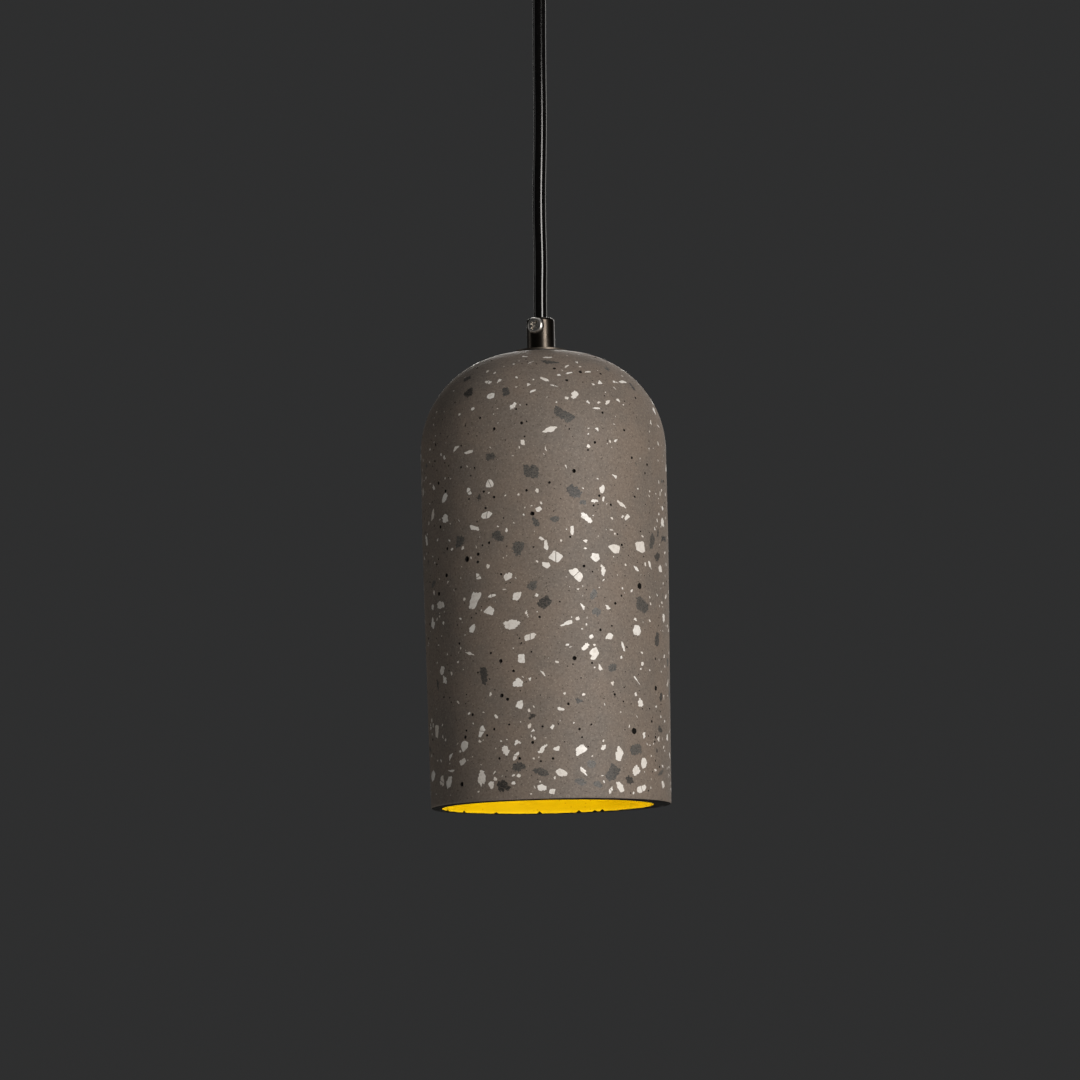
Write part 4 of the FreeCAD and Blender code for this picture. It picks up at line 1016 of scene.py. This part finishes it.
def hidden_rings(azimuths):
    """Rings of points round the worn edge, over the rim's face and up inside, and what each is made of."""
    rings = []
    for step in range(1, EDGE_STEPS + 1):
        angle = math.pi / 2 * step / EDGE_STEPS
        ring = []
        for azimuth in azimuths:
            wear = rim_wear(azimuth)
            inset = EDGE_ROUND * (1 - math.cos(angle)) + wear * step / EDGE_STEPS
            lift = EDGE_ROUND * (1 - math.sin(angle)) + 0.6 * wear * (1 - step / EDGE_STEPS)
            ring.append(on_wall(azimuth, RIM_RADIUS - inset, -HEIGHT + lift))
        rings.append((ring, BLACK if step > 2 else MATRIX))
    inner = RIM_INNER + PAINT
    for share in (0.5, 1.0):
        ring = []
        for azimuth in azimuths:
            outer = RIM_RADIUS - EDGE_ROUND - rim_wear(azimuth)
            radius = outer + (inner - outer) * share
            ring.append(on_wall(azimuth, radius, -HEIGHT, hole_shift(-HEIGHT) * share))
        rings.append((ring, BLACK))
    lap = [on_wall(azimuth, inner, BLACK_LAP - HEIGHT, hole_shift(-HEIGHT)) for azimuth in azimuths]
    rings.append((lap, BLACK))
    for radius, height in inner_profile(PAINT)[1:]:
        rings.append(([on_wall(azimuth, radius, height, hole_shift(height)) for azimuth in azimuths], MATRIX))
    return rings


def concrete_shade():
    """Outside, black rim face and hidden inside, closed into one solid."""
    terrazzo = Terrazzo()
    terrazzo.place_the_large_ones()
    terrazzo.scatter_chips(DARK_TRIES, CHARCOAL, DARK_LENGTHS)
    terrazzo.scatter_chips(WHITE_TRIES, WHITE, WHITE_LENGTHS)
    terrazzo.scatter_pits(PIT_TRIES)
    points, faces, kinds, tones = build_wall(terrazzo)
    whole = bmesh.new()
    wall = [whole.verts.new(point) for point in points]
    tone_layer = whole.faces.layers.float.new("chip_tone")
    for face, kind, tone in zip(faces, kinds, tones):
        made = whole.faces.new([wall[k] for k in face])
        made.material_index = kind
        made[tone_layer] = tone
    azimuths = ring_azimuths()
    added = [([whole.verts.new(point) for point in ring], kind) for ring, kind in hidden_rings(azimuths)]
    bottom = [whole.verts.new(on_wall(azimuth, *outer_profile(SIDE_END))) for azimuth in azimuths]
    top = [whole.verts.new(on_wall(azimuth, ROD_HOLE, 0.0)) for azimuth in azimuths]
    loops = [(bottom, MATRIX)] + added + [(top, MATRIX)]
    for (first, _), (second, kind) in zip(loops, loops[1:]):
        for k in range(ROUND_STEPS):
            after = (k + 1) % ROUND_STEPS
            made = whole.faces.new((first[k], first[after], second[after], second[k]))
            made.material_index = kind
    bmesh.ops.remove_doubles(whole, verts=whole.verts, dist=2e-6)
    bmesh.ops.recalc_face_normals(whole, faces=whole.faces)
    for edge in whole.edges:
        kinds_here = {face.material_index for face in edge.link_faces}
        pit_edge = PIT in kinds_here and len(kinds_here) > 1
        edge.smooth = not pit_edge and edge.calc_face_angle(0.0) < SHARP_ANGLE
    for face in whole.faces:
        face.smooth = True
    mesh = bpy.data.meshes.new("shade_concrete")
    whole.to_mesh(mesh)
    whole.free()
    for material in (concrete_matrix(), white_chip(), charcoal_chip(), pit_painted_shade(), rim_black()):
        mesh.materials.append(material)
    piece = in_scene("shade_concrete", mesh)
    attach(piece, "lamp")
    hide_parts("shade")


def shade_lining():
    """The coat of yellow paint inside: two skins, closed at both ends, with a ragged lower edge."""
    azimuths = ring_azimuths()
    draw = random.Random(NICK_SEED)
    nicks = []
    for _ in azimuths:
        nicked = draw.random() < NICK_ODDS
        nicks.append(draw.uniform(0.6, 1.3) if nicked else draw.uniform(0.0, 0.15))

    def skin(extra):
        rings = []
        for k, (radius, height) in enumerate(inner_profile(extra)):
            aside = hole_shift(height)
            places = zip(azimuths, nicks if k == 0 else [0.0] * len(azimuths))
            rings.append([on_wall(azimuth, radius, height + nick, aside) for azimuth, nick in places])
        return rings

    rings = skin(0.0) + skin(LINING_THICKNESS)[::-1]
    points = [point for ring in rings for point in ring]
    faces = []
    for k in range(len(rings)):
        first, second = k * ROUND_STEPS, (k + 1) % len(rings) * ROUND_STEPS
        for step in range(ROUND_STEPS):
            after = (step + 1) % ROUND_STEPS
            faces.append((first + step, second + step, second + after, first + after))
    piece = new_piece("shade_lining", points, faces, "lamp", yellow_paint())
    piece.data.validate()
    piece.data.set_sharp_from_angle(angle=SHARP_ANGLE)


# ---- cord

CORD_DIAMETER = 6.4 * MM
# The route below the upper grip: aside from the lamp's axis, towards the back, and above the lower grip
CORD_ROUTE = [
    (2.35, -0.15, 129.0),
    (2.1, 0.1, 95.0),
    (0.45, -0.2, 58.0),
    (0.75, 0.2, 28.0),
    (0.1, 0.0, 13.5),
    (0.0, 0.0, 0.0),
]


def free_cord():
    """The cord between the two grips, pulled nearly straight by the lamp's weight."""
    points = [Vector((0, 0, UPPER_MOUTH)), Vector((0, 0, UPPER_MOUTH - 3.5 * MM))]
    for aside, back, up in CORD_ROUTE:
        points.append(Vector((AXIS + aside * MM, back * MM, LOWER_MOUTH + up * MM)))
    curve = bpy.data.curves.new("free_cord", "CURVE")
    curve.dimensions = "3D"
    spline = curve.splines.new("NURBS")
    spline.points.add(len(points) - 1)
    for control, point in zip(spline.points, points):
        control.co = (*point, 1)
    spline.order_u = 3
    spline.use_endpoint_u = True
    spline.resolution_u = 16
    curve.bevel_depth = CORD_DIAMETER / 2
    curve.bevel_resolution = 10
    curve.use_fill_caps = True
    curve.materials.append(cord_sheath())
    cord = in_scene("free_cord", curve)
    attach(cord, "cord")
    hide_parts("cord", "cord_upper_bend", "cord_lower_end", "cord_lower_bend")


# ---- everything together


def finish_cad_nodes():
    """Gives each CAD node the procedural material made for its slot, where there is one; the crown's flange
    takes the satin nickel.
    """
    by_slot = finishes()
    for part in frame["record"]["subparts"]:
        slot = "satin_nickel" if part["node"] == "crown_flange" else part["material_slot"]
        material = by_slot.get(slot)
        if material:
            mesh = NODES[part["node"]].data
            mesh.materials.clear()
            mesh.materials.append(material)


make_camera()
free_cord()
make_studio()
concrete_shade()
shade_lining()
finish_cad_nodes()
